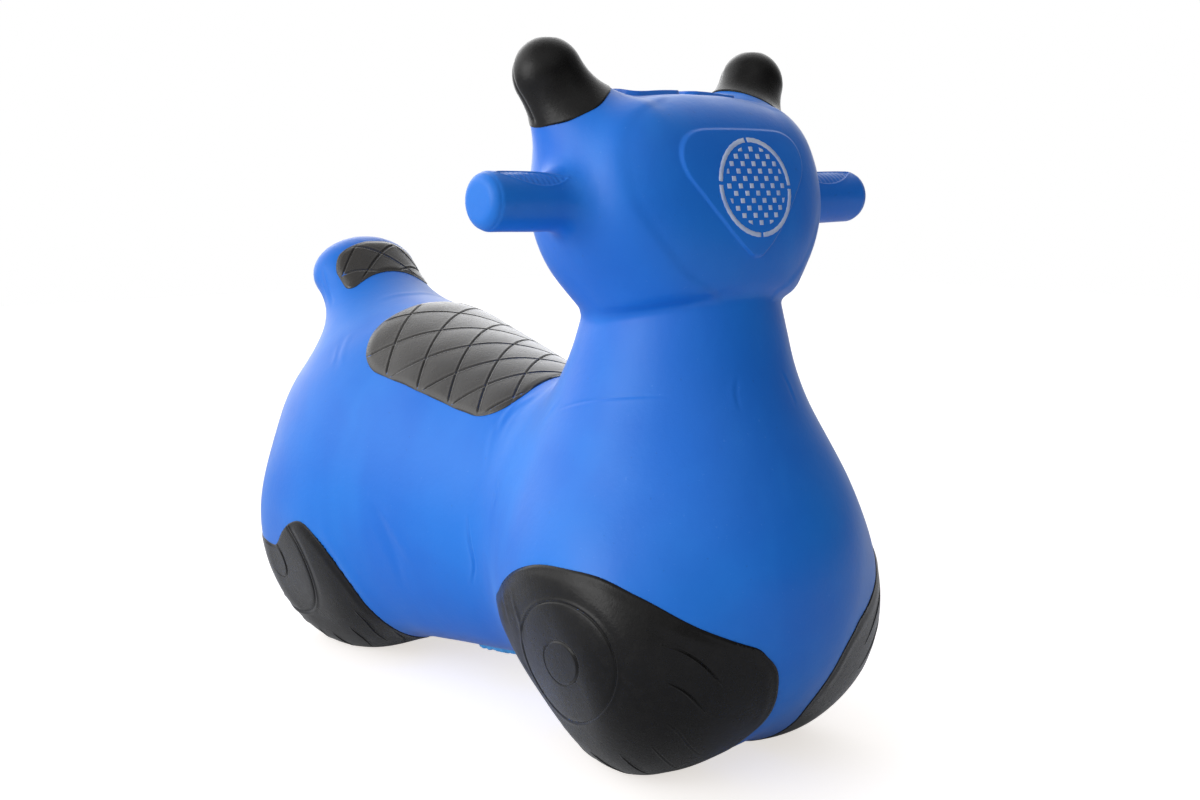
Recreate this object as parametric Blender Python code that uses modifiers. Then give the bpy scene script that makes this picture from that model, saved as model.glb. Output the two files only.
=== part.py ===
"""Bouncy ride-on motorcycle: one hollow inflated moulding with moulded relief, its painted coats, and its air valve.

Metres. The front faces -Y, the rider's right is -X, and the floor is z = 0.
"""
import math

import bmesh
import bpy
import numpy as np
from mathutils import Matrix, Vector

# Skin and gaps
WALL = 0.0018
GAP = 0.0003
COAT = 0.0006
SEAT_COAT = 0.0010

# Round forms: centre (x, y, z) and radius at each end
BARREL = ((0.0, 0.1535, 0.147, 0.1513), (0.0, -0.0495, 0.1385, 0.1066))
BARREL_WIDTH = 0.837
BELLY_LEVEL = 0.012
BELLY_BLEND = 0.040
CHEST_CENTRE = (0.0, -0.187, 0.127)
CHEST_RADII = (0.1146, 0.118, 0.1192)
NECK = ((0.0, -0.1645, 0.1603, 0.1052), (0.0, -0.171, 0.327, 0.0625))
HEAD = ((0.0, -0.171, 0.353, 0.0786), (0.0, -0.165, 0.3885, 0.0976))
HEAD_WIDTH = 1.089
HEAD_TOP = 0.460
FACE_Y = -0.2375
FACE_Z = 0.395
FACE_SLOPE = 0.24
CHIN_LEVEL = 0.306
CHIN_SLOPE = -0.254
CHIN_Y = -0.1645
TAIL = ((0.0, 0.1905, 0.2598, 0.0304), (0.0, 0.2493, 0.3178, 0.0322))
TAIL_WIDTH = 1.54
MIRROR = ((0.0743, -0.1535, 0.4282, 0.0224), (0.0951, -0.141, 0.4688, 0.0239))
MIRROR_DEPTH = 0.911

# Handles: a rounded bar from inside the head to its end
HANDLE_START_X = 0.05
HANDLE_END_X = 0.1747
HANDLE_Y = -0.171
HANDLE_Z = 0.3875
HANDLE_RADIUS = 0.0189
HANDLE_EDGE = 0.009
HANDLE_SWEEP = -0.0175
HANDLE_LIFT = 0.019

# Wheels: centre, half width, camber and toe in radians
FRONT_WHEEL = ((0.0666, -0.1765, 0.0861), 0.0394, -0.241, 0.311)
REAR_WHEEL = ((0.0594, 0.1878, 0.0818), 0.0371, -0.203, -0.180)
WHEEL_SHOULDER = 0.035

# Blend radii where the forms flow together
BODY_BLEND = 0.070
NECK_BLEND = 0.050
WHEEL_BLEND = 0.050
TAIL_BLEND = 0.035
MIRROR_BLEND = 0.030
HANDLE_BLEND = 0.015
CHIN_BLEND = 0.006
CHIN_EDGE = 0.010
HEAD_EDGE = 0.035

# Painted wheels: the top line by bearing round the wheel's axis in degrees, the inner line by height
FRONT_AXIS_Y = -0.1745
REAR_AXIS_Y = 0.1655
FRONT_COAT_TOP = ((5, 0.090), (19, 0.101), (37, 0.119), (56, 0.142), (67, 0.152), (77, 0.154), (90, 0.152),
                  (101, 0.144), (114, 0.129), (122, 0.117), (132, 0.103), (141, 0.070), (150, 0.020), (165, -0.060))
REAR_COAT_TOP = ((5, 0.085), (25, 0.093), (60, 0.092), (70, 0.092), (81, 0.109), (89, 0.119), (98, 0.123),
                 (107, 0.109), (117, 0.082), (124, 0.058), (136, 0.032), (153, 0.013), (170, -0.020))
FRONT_COAT_INNER = ((0.0, 0.029), (0.032, 0.025), (0.045, 0.020), (0.064, 0.022), (0.074, 0.029),
                    (0.088, 0.032), (0.101, 0.042))
REAR_COAT_INNER = ((0.0, 0.026), (0.050, 0.022), (0.100, 0.036))
COAT_CORNER = 0.012

# Painted seat, tail pad and mirrors
SEAT_REAR_Y = 0.1365
SEAT_FRONT_Y = -0.041
SEAT_HALF_WIDTH = 0.071
SEAT_FLARE = 0.13
SEAT_CORNER = ((SEAT_FRONT_Y, 0.028), (SEAT_REAR_Y, 0.040))
SEAT_ABOVE = 0.18
TAIL_PAD_Y = (0.2065, 0.2345)
TAIL_PAD_HALF_WIDTH = 0.042
TAIL_PAD_CORNER = 0.008
TAIL_PAD_ABOVE = 0.29
MIRROR_COAT_LEVEL = 0.5075
MIRROR_COAT_SLOPE = 0.66
MIRROR_COAT_ABOVE = 0.42

# Hubs: centre, then how far the axis turns forward and up from straight sideways, in degrees;
# the two half sizes, along and up, of the ring groove and of the raised boss
FRONT_HUB = ((0.126, -0.1895, 0.088), 28.3, 18.0)
FRONT_RING = (0.047, 0.0385)
FRONT_BOSS = (0.0177, 0.0137)
REAR_HUB = ((0.115, 0.2165, 0.079), 0.0, 0.0)
REAR_RING = (0.060, 0.050)
REAR_BOSS = (0.0175, 0.0175)
RING_DEPTH = 0.0012
RING_HALF_WIDTH = 0.0022
BOSS_HEIGHT = 0.0010
BOSS_EDGE = 0.0022
HUB_REACH = 0.045

# Quilting: lines slant across the saddle, and their spacing grows towards the rear
QUILT_START = -0.0066
QUILT_PITCH = 0.0316
QUILT_GROWTH = 0.00144
QUILT_SLANT = 0.60
SADDLE_RADIUS = 0.104
QUILT_LINES = range(-4, 8)
QUILT_HEIGHT = 0.0020
QUILT_RIM = 0.005
TAIL_QUILT_Y = 0.222
TAIL_QUILT_PITCH = 0.020
TAIL_QUILT_SLANT = 0.51
TAIL_QUILT_LINES = range(-2, 3)
TAIL_QUILT_HEIGHT = 0.0014

# Head relief: lamp plate and fairing, each by its half width at a height, and two flat pads on top
LAMP_PLATE = ((0.349, 0.0), (0.357, 0.009), (0.371, 0.021), (0.387, 0.0355), (0.403, 0.048), (0.413, 0.0545),
              (0.421, 0.0565), (0.445, 0.0565))
LAMP_PLATE_TOP = 0.4325
LAMP_PLATE_CORNER = 0.024
FAIRING = ((0.318, 0.020), (0.328, 0.038), (0.338, 0.055), (0.355, 0.072), (0.371, 0.084), (0.388, 0.092),
           (0.406, 0.094), (0.420, 0.092), (0.433, 0.086), (0.444, 0.073), (0.452, 0.055), (0.462, 0.020))
FACE_FRONT_Y = -0.180
PLATE_HEIGHT = 0.0012
PLATE_EDGE = 0.0025
FAIRING_DEPTH = 0.0012
FAIRING_EDGE = 0.0060
HEAD_PAD_X = (0.003, 0.055)
HEAD_PAD_Y = (-0.200, -0.120)
HEAD_PAD_ABOVE = 0.44
HEAD_PAD_CORNER = 0.008
HEAD_PAD_HEIGHT = 0.0013
HEAD_PAD_EDGE = 0.0020

# Belly disc, welded over the mould's mouth
DISC_Y = 0.010
DISC_RADIUS = 0.040
DISC_BELOW = 0.06
DISC_THICKNESS = 0.0015
MOUTH_RADIUS = 0.022
MOUTH_CUT = 0.1

# Valve in the rump: its axis tilts up from straight back
VALVE_TILT = 24.0
BORE_RADIUS = 0.0063
BORE_CUT = 0.04
SLEEVE_RADIUS = 0.0060
SLEEVE_BORE = 0.0036
SLEEVE_FLANGE = 0.0095
FLANGE_THICKNESS = 0.0014
SLEEVE_DEPTH = 0.020
PLUG_CLEARANCE = 0.0003
PLUG_HEAD_RADIUS = 0.0075
PLUG_HEAD = 0.0018
STEM_TAPER = 0.0004
TIP_TAPER = 0.0012
TIP_LENGTH = 0.002
ROUND = 0.0005

# Mesh sizes, and the rough form's insets
ROUGH_VOXEL = 0.010
ROUGH_BALLS = 5
ROUGH_INSET = 0.004
ROUGH_BARREL = (BARREL_WIDTH, 1.0, 0.93)
ROUGH_HEAD = (0.99, 0.90, 0.75)
HALF_TRIANGLES = 1100
HANDLE_TIP = 0.026
HANDLE_FACE = 0.009
DISC_FACE = 0.018
DISC_REACH = 1.3
HUB_FACE = 0.014
TAIL_PAD_MIDDLE = (0.0, 0.220, 0.330)
TAIL_PAD_REACH = 0.040
TAIL_PAD_FACE = 0.020
DIAMOND_AREA = 0.00025
SNAP = 0.35
WITHIN = 0.0003
TOUCH = 0.0008
LEAST_TURN = 0.5
ON_PLANE = 1e-5
LEAST_SLOPE = 0.05
MOST_STEP = 0.01
BALL_SEGMENTS = 24
DRUM_SEGMENTS = 24
CUTTER_SEGMENTS = 32
SKIN_FLOOR = GAP + COAT
TURN_STEPS = 32

# Colours from the object: satin blue skin, satin black paint, pale valve
BLUE = (0.025, 0.170, 0.740)
BLACK = (0.017, 0.017, 0.020)
PALE = (0.780, 0.800, 0.820)

COLLECTION = "ride_on_motorcycle"


def smooth_min(a, b, blend):
    """Lower of two fields, rounded over the blend width."""
    h = np.clip(0.5 + 0.5 * (b - a) / blend, 0.0, 1.0)
    return b * (1.0 - h) + a * h - blend * h * (1.0 - h)


def smooth_max(a, b, blend):
    """Higher of two fields, rounded over the blend width."""
    return -smooth_min(-a, -b, blend)


def round_cone(p, ends, scale=(1.0, 1.0, 1.0)):
    """Distance to the hull of two balls, each an end (x, y, z, radius); scale stretches it about the far ball."""
    start = np.array(ends[0][:3])
    stop = np.array(ends[1][:3])
    radius = ends[0][3]
    stretch = np.array(scale)
    q = (p - stop) / stretch + stop - start
    axis = stop - start
    length = np.linalg.norm(axis)
    taper = (radius - ends[1][3]) / length
    along = q @ axis / length
    across = np.sqrt(np.maximum((q * q).sum(-1) - along * along, 0.0))
    t = np.clip(along - across * taper / math.sqrt(1.0 - taper * taper), 0.0, length)
    return (np.hypot(across, along - t) - radius + taper * t) * min(1.0, stretch.min())


def ellipsoid(p, centre, radii):
    """Distance, near enough, to an ellipsoid."""
    q = (p - np.array(centre)) / np.array(radii)
    size = np.linalg.norm(q, axis=-1)
    slope = np.linalg.norm(q / np.array(radii), axis=-1)
    return size * (size - 1.0) / np.maximum(slope, 1e-9)


def rounded_drum(along, across, half, radius, edge):
    """Distance to a drum with rounded rims, from the distance along and across its axis."""
    side = np.abs(along) - (half - edge)
    rim = across - (radius - edge)
    return np.minimum(np.maximum(side, rim), 0.0) + np.hypot(np.maximum(side, 0.0), np.maximum(rim, 0.0)) - edge


def wheel_field(q, wheel):
    """Distance to a wheel bulge, which stands on the floor and leans by its camber and toe."""
    centre, half, camber, toe = wheel
    d = q - np.array(centre)
    x = math.cos(toe) * d[..., 0] + math.sin(toe) * d[..., 1]
    y = -math.sin(toe) * d[..., 0] + math.cos(toe) * d[..., 1]
    z = d[..., 2]
    along = math.cos(camber) * x + math.sin(camber) * z
    up = -math.sin(camber) * x + math.cos(camber) * z
    return rounded_drum(along, np.hypot(y, up), half, centre[2], WHEEL_SHOULDER)


def handle_field(q):
    """Distance to a handle, a rounded bar that sweeps back and rises a little towards its end."""
    reach = q[..., 0] - HANDLE_END_X
    y = q[..., 1] - HANDLE_Y - HANDLE_SWEEP * reach
    z = q[..., 2] - HANDLE_Z - HANDLE_LIFT * reach
    half = (HANDLE_END_X - HANDLE_START_X) / 2
    return rounded_drum(reach + half, np.hypot(y, z), half, HANDLE_RADIUS, HANDLE_EDGE)


def body_field(p):
    """Distance to the whole inflated form: negative inside, zero on the skin."""
    q = p.copy()
    q[..., 0] = np.abs(q[..., 0])
    barrel = round_cone(p, BARREL, (BARREL_WIDTH, 1.0, 1.0))
    barrel = smooth_max(barrel, BELLY_LEVEL - p[..., 2], BELLY_BLEND)
    head = round_cone(p, HEAD, (HEAD_WIDTH, 1.0, 1.0))
    head = smooth_max(head, p[..., 2] - HEAD_TOP, HEAD_EDGE)
    face = FACE_Y + FACE_SLOPE * (p[..., 2] - FACE_Z) - p[..., 1]
    head = smooth_max(head, face / math.hypot(1.0, FACE_SLOPE), HEAD_EDGE)
    head = smooth_max(head, CHIN_LEVEL + CHIN_SLOPE * (p[..., 1] - CHIN_Y) - p[..., 2], CHIN_EDGE)
    form = smooth_min(barrel, ellipsoid(p, CHEST_CENTRE, CHEST_RADII), BODY_BLEND)
    form = smooth_min(form, round_cone(p, NECK), NECK_BLEND)
    form = smooth_min(form, head, CHIN_BLEND)
    form = smooth_min(form, wheel_field(q, FRONT_WHEEL), WHEEL_BLEND)
    form = smooth_min(form, wheel_field(q, REAR_WHEEL), WHEEL_BLEND)
    form = smooth_min(form, round_cone(q, MIRROR, (1.0, MIRROR_DEPTH, 1.0)), MIRROR_BLEND)
    form = smooth_min(form, handle_field(q), HANDLE_BLEND)
    return smooth_min(form, round_cone(p, TAIL, (TAIL_WIDTH, 1.0, 1.0)), TAIL_BLEND)


def gradient(field, p, step=0.0004):
    """Slope of a field by central differences."""
    g = np.zeros_like(p)
    for i in range(3):
        offset = np.zeros(3)
        offset[i] = step
        g[:, i] = (field(p + offset) - field(p - offset)) / (2 * step)
    return g


def onto_skin(p, rounds=6):
    """Points moved along the field's slope until they lie on the skin."""
    for _ in range(rounds):
        value = body_field(p)
        g = gradient(body_field, p)
        step = value / np.maximum((g * g).sum(-1), LEAST_SLOPE)
        p = p - g * np.clip(step, -MOST_STEP, MOST_STEP)[:, None]
    return p


def smooth_curve(x, knots):
    """Height at x of the smooth curve through the knots (x, height)."""
    xs, ys = np.array(knots).T
    slopes = np.gradient(ys, xs)
    i = np.clip(np.searchsorted(xs, x) - 1, 0, len(xs) - 2)
    span = xs[i + 1] - xs[i]
    t = np.clip((x - xs[i]) / span, 0.0, 1.0)
    rise = ys[i + 1] - ys[i]
    start = slopes[i] * span
    stop = slopes[i + 1] * span
    return ys[i] + start * t + (3 * rise - 2 * start - stop) * t ** 2 + (start + stop - 2 * rise) * t ** 3


def rounded_plate(across, along, radius):
    """Distance to the edge of a plate with round corners, from how far past its two half sizes a point is."""
    a = across + radius
    b = along + radius
    return np.hypot(np.maximum(a, 0.0), np.maximum(b, 0.0)) + np.minimum(np.maximum(a, b), 0.0) - radius


def wheel_coat_zone(p, axis_y, toward, top, inner):
    """Negative on a painted wheel: under a top line drawn round the body, and outside an inner line."""
    bearing = np.degrees(np.arctan2(np.abs(p[:, 0]), toward * (p[:, 1] - axis_y)))
    above = p[:, 2] - smooth_curve(bearing, top)
    inside = smooth_curve(p[:, 2], inner) - np.abs(p[:, 0])
    return np.maximum(smooth_max(above, inside, COAT_CORNER), -toward * p[:, 1])


def front_coat_zone(p):
    return wheel_coat_zone(p, FRONT_AXIS_Y, -1, FRONT_COAT_TOP, FRONT_COAT_INNER)


def rear_coat_zone(p):
    return wheel_coat_zone(p, REAR_AXIS_Y, 1, REAR_COAT_TOP, REAR_COAT_INNER)


def seat_coat_zone(p):
    middle = (SEAT_REAR_Y + SEAT_FRONT_Y) / 2
    half = (SEAT_REAR_Y - SEAT_FRONT_Y) / 2
    across = np.abs(p[:, 0]) - SEAT_HALF_WIDTH - SEAT_FLARE * p[:, 1]
    corner = smooth_curve(p[:, 1], SEAT_CORNER)
    return np.maximum(rounded_plate(across, np.abs(p[:, 1] - middle) - half, corner), SEAT_ABOVE - p[:, 2])


def tail_coat_zone(p):
    middle = sum(TAIL_PAD_Y) / 2
    half = (TAIL_PAD_Y[1] - TAIL_PAD_Y[0]) / 2
    across = np.abs(p[:, 0]) - TAIL_PAD_HALF_WIDTH
    return np.maximum(rounded_plate(across, np.abs(p[:, 1] - middle) - half, TAIL_PAD_CORNER), TAIL_PAD_ABOVE - p[:, 2])


def mirror_coat_zone(p):
    below = MIRROR_COAT_LEVEL - p[:, 2] - MIRROR_COAT_SLOPE * np.abs(p[:, 0])
    return np.maximum(below / math.hypot(1.0, MIRROR_COAT_SLOPE), MIRROR_COAT_ABOVE - p[:, 2])


def belly_disc_zone(p):
    return np.maximum(np.hypot(p[:, 0], p[:, 1] - DISC_Y) - DISC_RADIUS, p[:, 2] - DISC_BELOW)


def hub_reach(p, hub, radii):
    """Distance outside an oval round a hub's axis; far outside on the wheel's inner side."""
    centre, forward, up = hub
    turn = math.radians(forward)
    rise = math.radians(up)
    d = p - np.array(centre)
    d[:, 0] = np.abs(p[:, 0]) - centre[0]
    along = d @ (math.cos(rise) * math.cos(turn), -math.cos(rise) * math.sin(turn), math.sin(rise))
    ahead = d @ (math.sin(turn), math.cos(turn), 0.0)
    above = d @ (-math.sin(rise) * math.cos(turn), math.sin(rise) * math.sin(turn), math.cos(rise))
    reach = (np.hypot(ahead / radii[0], above / radii[1]) - 1.0) * min(radii)
    return np.where(along < -HUB_REACH, HUB_REACH, reach)


def seat_rows(p):
    """How many quilting lines a point on the saddle is past, for each of the two slants."""
    u = SADDLE_RADIUS * np.arcsin(np.clip(p[:, 0] / SADDLE_RADIUS, -1.0, 1.0))
    rows = []
    for slant in (-QUILT_SLANT, QUILT_SLANT):
        s = p[:, 1] + slant * u - QUILT_START
        root = np.sqrt(np.maximum(QUILT_PITCH ** 2 + 4 * QUILT_GROWTH * s, 0.0))
        rows.append((root - QUILT_PITCH) / (2 * QUILT_GROWTH))
    return rows


def tail_rows(p):
    """The same for the tail pad, whose lines are evenly spaced."""
    return [(p[:, 1] - TAIL_QUILT_Y + slant * p[:, 0]) / TAIL_QUILT_PITCH
            for slant in (-TAIL_QUILT_SLANT, TAIL_QUILT_SLANT)]


def pillows(rows):
    """1 in the middle of each quilted diamond and 0 along its edges."""
    height = 1.0
    for row in rows:
        height = height * (1.0 - (2.0 * np.abs(row - np.floor(row) - 0.5)) ** 2)
    return height


def head_front_zone(p, half_widths):
    """Negative on the head's front inside an outline of half width by height."""
    width = smooth_curve(p[:, 2], half_widths)
    beyond = np.maximum(half_widths[0][0] - p[:, 2], p[:, 2] - half_widths[-1][0])
    return np.maximum(np.maximum(np.abs(p[:, 0]) - width, beyond), p[:, 1] - FACE_FRONT_Y)


def lamp_plate_zone(p):
    return smooth_max(head_front_zone(p, LAMP_PLATE), p[:, 2] - LAMP_PLATE_TOP, LAMP_PLATE_CORNER)


def fairing_zone(p):
    return head_front_zone(p, FAIRING)


def head_pad_zone(p):
    x, y = sum(HEAD_PAD_X) / 2, sum(HEAD_PAD_Y) / 2
    across = np.abs(np.abs(p[:, 0]) - x) - (HEAD_PAD_X[1] - HEAD_PAD_X[0]) / 2
    along = np.abs(p[:, 1] - y) - (HEAD_PAD_Y[1] - HEAD_PAD_Y[0]) / 2
    return np.maximum(rounded_plate(across, along, HEAD_PAD_CORNER), HEAD_PAD_ABOVE - p[:, 2])


def ramp(zone, edge):
    """1 inside a zone, falling to 0 across its edge."""
    return np.clip(-zone / edge, 0.0, 1.0)


def relief(p):
    """Height of the moulded details over the round form."""
    height = QUILT_HEIGHT * pillows(seat_rows(p)) * ramp(seat_coat_zone(p), QUILT_RIM)
    height += TAIL_QUILT_HEIGHT * pillows(tail_rows(p)) * ramp(tail_coat_zone(p), QUILT_RIM)
    for hub, ring, boss in HUBS:
        groove = np.abs(hub_reach(p, hub, ring)) - RING_HALF_WIDTH
        height -= RING_DEPTH * ramp(groove, RING_HALF_WIDTH)
        height += BOSS_HEIGHT * ramp(hub_reach(p, hub, boss), BOSS_EDGE)
    height += PLATE_HEIGHT * ramp(lamp_plate_zone(p), PLATE_EDGE)
    height -= FAIRING_DEPTH * ramp(fairing_zone(p), FAIRING_EDGE)
    return height + HEAD_PAD_HEIGHT * ramp(head_pad_zone(p), HEAD_PAD_EDGE)


def relief_lines():
    """Each line that the relief turns along: a field that is 0 on it, and the zone that it keeps to."""
    for hub, ring, boss in HUBS:
        for level in (RING_HALF_WIDTH, 0.0, -RING_HALF_WIDTH):
            yield lambda p, h=hub, r=ring, v=level: hub_reach(p, h, r) - v, None
        for level in (0.0, -BOSS_EDGE):
            yield lambda p, h=hub, r=boss, v=level: hub_reach(p, h, r) - v, None
    for zone, edge in ((lamp_plate_zone, PLATE_EDGE), (fairing_zone, FAIRING_EDGE), (head_pad_zone, HEAD_PAD_EDGE)):
        for level in (0.0, -edge):
            yield lambda p, z=zone, v=level: z(p) - v, None
    for rows, lines, zone in ((seat_rows, QUILT_LINES, seat_coat_zone), (tail_rows, TAIL_QUILT_LINES, tail_coat_zone)):
        for slant in (0, 1):
            for line in lines:
                yield lambda p, r=rows, s=slant, v=line: r(p)[s] - v, zone


def new_object(name, mesh, collection):
    """An object for a mesh, in its collection."""
    obj = bpy.data.objects.new(name, mesh)
    collection.objects.link(obj)
    return obj


def mesh_from(bm, name):
    """A mesh taken from a bmesh, which is freed."""
    mesh = bpy.data.meshes.new(name)
    bm.to_mesh(mesh)
    bm.free()
    return mesh


def evaluated_mesh(obj):
    """The object's mesh with its modifiers applied."""
    graph = bpy.context.evaluated_depsgraph_get()
    graph.update()
    return bpy.data.meshes.new_from_object(obj.evaluated_get(graph))


def points_of(mesh):
    """A mesh's vertices as rows of x, y, z."""
    flat = np.zeros(len(mesh.vertices) * 3)
    mesh.vertices.foreach_get("co", flat)
    return flat.reshape(-1, 3)


def put_points(mesh, p):
    """Moves a mesh's vertices to the rows of p."""
    mesh.vertices.foreach_set("co", p.astype(np.float32).ravel())
    mesh.update()


def add_balls(bm, ends, scale=(1.0, 1.0, 1.0)):
    """Balls strung between the two ends of a round cone, close enough to merge into one form."""
    start = Vector(ends[0])
    stop = Vector(ends[1])
    for i in range(ROUGH_BALLS):
        ball = start.lerp(stop, i / (ROUGH_BALLS - 1))
        size = [ball[3] * s for s in scale]
        place = Matrix.Translation(ball[:3]) @ Matrix.Diagonal((*size, 1.0))
        bmesh.ops.create_uvsphere(bm, u_segments=BALL_SEGMENTS, v_segments=BALL_SEGMENTS // 2, radius=1.0,
                                  matrix=place)


def add_drum(bm, centre, radius, half, turn):
    """A closed drum about the X axis, turned about the upright axis."""
    place = Matrix.Translation(centre) @ Matrix.Rotation(turn, 4, "Z") @ Matrix.Rotation(math.pi / 2, 4, "Y")
    bmesh.ops.create_cone(bm, cap_ends=True, segments=DRUM_SEGMENTS, radius1=radius, radius2=radius,
                          depth=2 * half, matrix=place)


def rough_form(collection):
    """The inflated form roughly: balls and drums merged by a voxel remesh."""
    bm = bmesh.new()
    add_balls(bm, BARREL, ROUGH_BARREL)
    add_balls(bm, NECK)
    add_balls(bm, HEAD, ROUGH_HEAD)
    add_balls(bm, TAIL, (TAIL_WIDTH, 1.0, 1.0))
    add_balls(bm, ((*CHEST_CENTRE, CHEST_RADII[0]), (*CHEST_CENTRE, CHEST_RADII[0])))
    for side in (-1, 1):
        for centre, half, camber, toe in (FRONT_WHEEL, REAR_WHEEL):
            place = (side * centre[0], centre[1], centre[2])
            add_drum(bm, place, centre[2] - ROUGH_INSET, half - ROUGH_INSET, side * toe)
        add_balls(bm, [(side * x, y, z, r) for x, y, z, r in MIRROR], (1.0, MIRROR_DEPTH, 1.0))
        middle = (HANDLE_START_X + HANDLE_END_X) / 2
        half = (HANDLE_END_X - HANDLE_START_X) / 2
        add_drum(bm, (side * middle, HANDLE_Y, HANDLE_Z), HANDLE_RADIUS, half - ROUGH_INSET, 0.0)
    rough = new_object("rough_form", mesh_from(bm, "rough_form"), collection)
    merge = rough.modifiers.new("merge", "REMESH")
    merge.mode = "VOXEL"
    merge.voxel_size = ROUGH_VOXEL
    merged = evaluated_mesh(rough)
    bpy.data.objects.remove(rough)
    return merged


def half_skin(collection):
    """The right half of the skin, open on the plane x = 0, with fewer faces where it is flatter."""
    mesh = rough_form(collection)
    put_points(mesh, onto_skin(points_of(mesh)))
    bm = bmesh.new()
    bm.from_mesh(mesh)
    bmesh.ops.bisect_plane(bm, geom=bm.verts[:] + bm.edges[:] + bm.faces[:], dist=ON_PLANE,
                           plane_co=(0, 0, 0), plane_no=(1, 0, 0), clear_outer=True)
    bmesh.ops.triangulate(bm, faces=bm.faces[:])
    triangles = len(bm.faces)
    half = new_object("half_skin", mesh_from(bm, "half_skin"), collection)
    thin = half.modifiers.new("thin", "DECIMATE")
    thin.ratio = HALF_TRIANGLES / triangles
    result = evaluated_mesh(half)
    bpy.data.objects.remove(half)
    return result


def clear_wires(bm):
    """Removes the edges that no face uses."""
    bmesh.ops.delete(bm, geom=[e for e in bm.edges if e.is_wire], context="EDGES")


def level_points(bm):
    """The bmesh's vertices as rows, with fresh indices."""
    bm.verts.ensure_lookup_table()
    bm.verts.index_update()
    return np.array([v.co[:] for v in bm.verts])


def cut_along(bm, field, held, within=None):
    """Ends faces on the line where a field is 0, and holds the vertices on it; returns each vertex's value."""
    p = level_points(bm)
    bm.normal_update()
    level = field(p)
    if within is not None:
        level[within(p) > WITHIN] = np.inf
    for v in bm.verts:
        best = SNAP
        target = None
        for e in v.link_edges:
            w = e.other_vert(v)
            if not crosses(level[v.index], level[w.index]):
                continue
            t = level[v.index] / (level[v.index] - level[w.index])
            if v[held] or abs(v.co.x) < ON_PLANE <= abs(w.co.x):
                if t * e.calc_length() < TOUCH:
                    best = 0.0
                    target = v.co.copy()
            elif t < best:
                best = t
                target = v.co.lerp(w.co, t)
        if target is not None and moved(v, target):
            level[v.index] = 0.0
    values = {v: level[v.index] for v in bm.verts}
    for e in bm.edges[:]:
        a, b = e.verts
        if crosses(values[a], values[b]):
            new = bmesh.utils.edge_split(e, a, values[a] / (values[a] - values[b]))[1]
            values[new] = 0.0
    for f in bm.faces[:]:
        ends = [v for v in f.verts if values[v] == 0.0]
        if len(ends) == 2 and bm.edges.get(ends) is None:
            bmesh.utils.face_split(f, ends[0], ends[1])
    for v, value in values.items():
        if value == 0.0:
            v[held] = 1
    return values


def moved(v, target):
    """Moves a vertex, unless that would turn one of its faces over; says whether it did."""
    start = v.co.copy()
    before = [(f, f.normal.copy()) for f in v.link_faces]
    v.co = target
    for f, _ in before:
        f.normal_update()
    if all(f.normal.dot(normal) > LEAST_TURN for f, normal in before):
        return True
    v.co = start
    for f, _ in before:
        f.normal_update()
    return False


def crosses(a, b):
    """Whether a line passes between two vertices with these values."""
    return math.isfinite(a) and math.isfinite(b) and a * b < 0


def tag_inside(bm, values, zone, tag, layer):
    """Gives the faces inside a zone's outline the tag; one whose corners are all on it goes by its middle."""
    for f in bm.faces:
        if any(values[v] > 0 for v in f.verts):
            continue
        if any(values[v] < 0 for v in f.verts) or zone(np.array([f.calc_center_median()]))[0] < 0:
            f[layer] = tag


def skin_with_zones(collection):
    """The half skin as a bmesh, cut on every zone's outline, with each face's zone number in a layer."""
    mesh = half_skin(collection)
    bm = bmesh.new()
    bm.from_mesh(mesh)
    clear_wires(bm)
    for v in bm.verts:
        if v.is_boundary:
            v.co.x = 0.0
    refine(bm, (0.0, DISC_Y, BELLY_LEVEL), DISC_REACH * DISC_RADIUS, DISC_FACE)
    refine(bm, (-HANDLE_END_X, HANDLE_Y, HANDLE_Z), HANDLE_TIP, HANDLE_FACE)
    refine(bm, TAIL_PAD_MIDDLE, TAIL_PAD_REACH, TAIL_PAD_FACE)
    for hub, _, _ in HUBS:
        x, y, z = hub[0]
        refine(bm, (-x, y, z), HUB_REACH / 2, HUB_FACE)
    settle(bm)
    layer = bm.faces.layers.int.new("zone")
    held = bm.verts.layers.int.new("held")
    for tag, zone in enumerate(ZONES, start=1):
        tag_inside(bm, cut_along(bm, zone, held), zone, tag, layer)
    for field, within in relief_lines():
        cut_along(bm, field, held, within)
    spare = [v for v in bm.verts if not v[held] and not v.is_boundary
             and any(f[layer] in QUILTED for f in v.link_faces)]
    bmesh.ops.dissolve_verts(bm, verts=spare)
    bmesh.ops.poke(bm, faces=[f for f in bm.faces if f[layer] in QUILTED and f.calc_area() > DIAMOND_AREA])
    bmesh.ops.triangulate(bm, faces=bm.faces[:])
    settle(bm)
    add_relief(bm)
    return bm


def refine(bm, centre, reach, size):
    """Splits the edges near a centre until none there is longer than the size."""
    middle = Vector(centre)
    while True:
        long = [e for e in bm.edges if e.calc_length() > size
                and ((e.verts[0].co + e.verts[1].co) / 2 - middle).length < reach]
        if not long:
            return
        bmesh.ops.subdivide_edges(bm, edges=long, cuts=1)
        bmesh.ops.triangulate(bm, faces=bm.faces[:])


def settle(bm):
    """Puts the vertices on the skin, the open edge on the plane x = 0, and flattens what the floor flattens."""
    p = onto_skin(level_points(bm), 3)
    p[:, 2] = np.maximum(p[:, 2], SKIN_FLOOR)
    for v in bm.verts:
        v.co = p[v.index]
        if v.is_boundary:
            v.co.x = 0.0


def add_relief(bm):
    """Raises and sinks the vertices by the moulded relief."""
    p = level_points(bm)
    n = skin_normals(p)
    n[np.abs(p[:, 0]) < ON_PLANE, 0] = 0.0
    p += n * relief(p)[:, None]
    for v in bm.verts:
        v.co = p[v.index]


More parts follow.
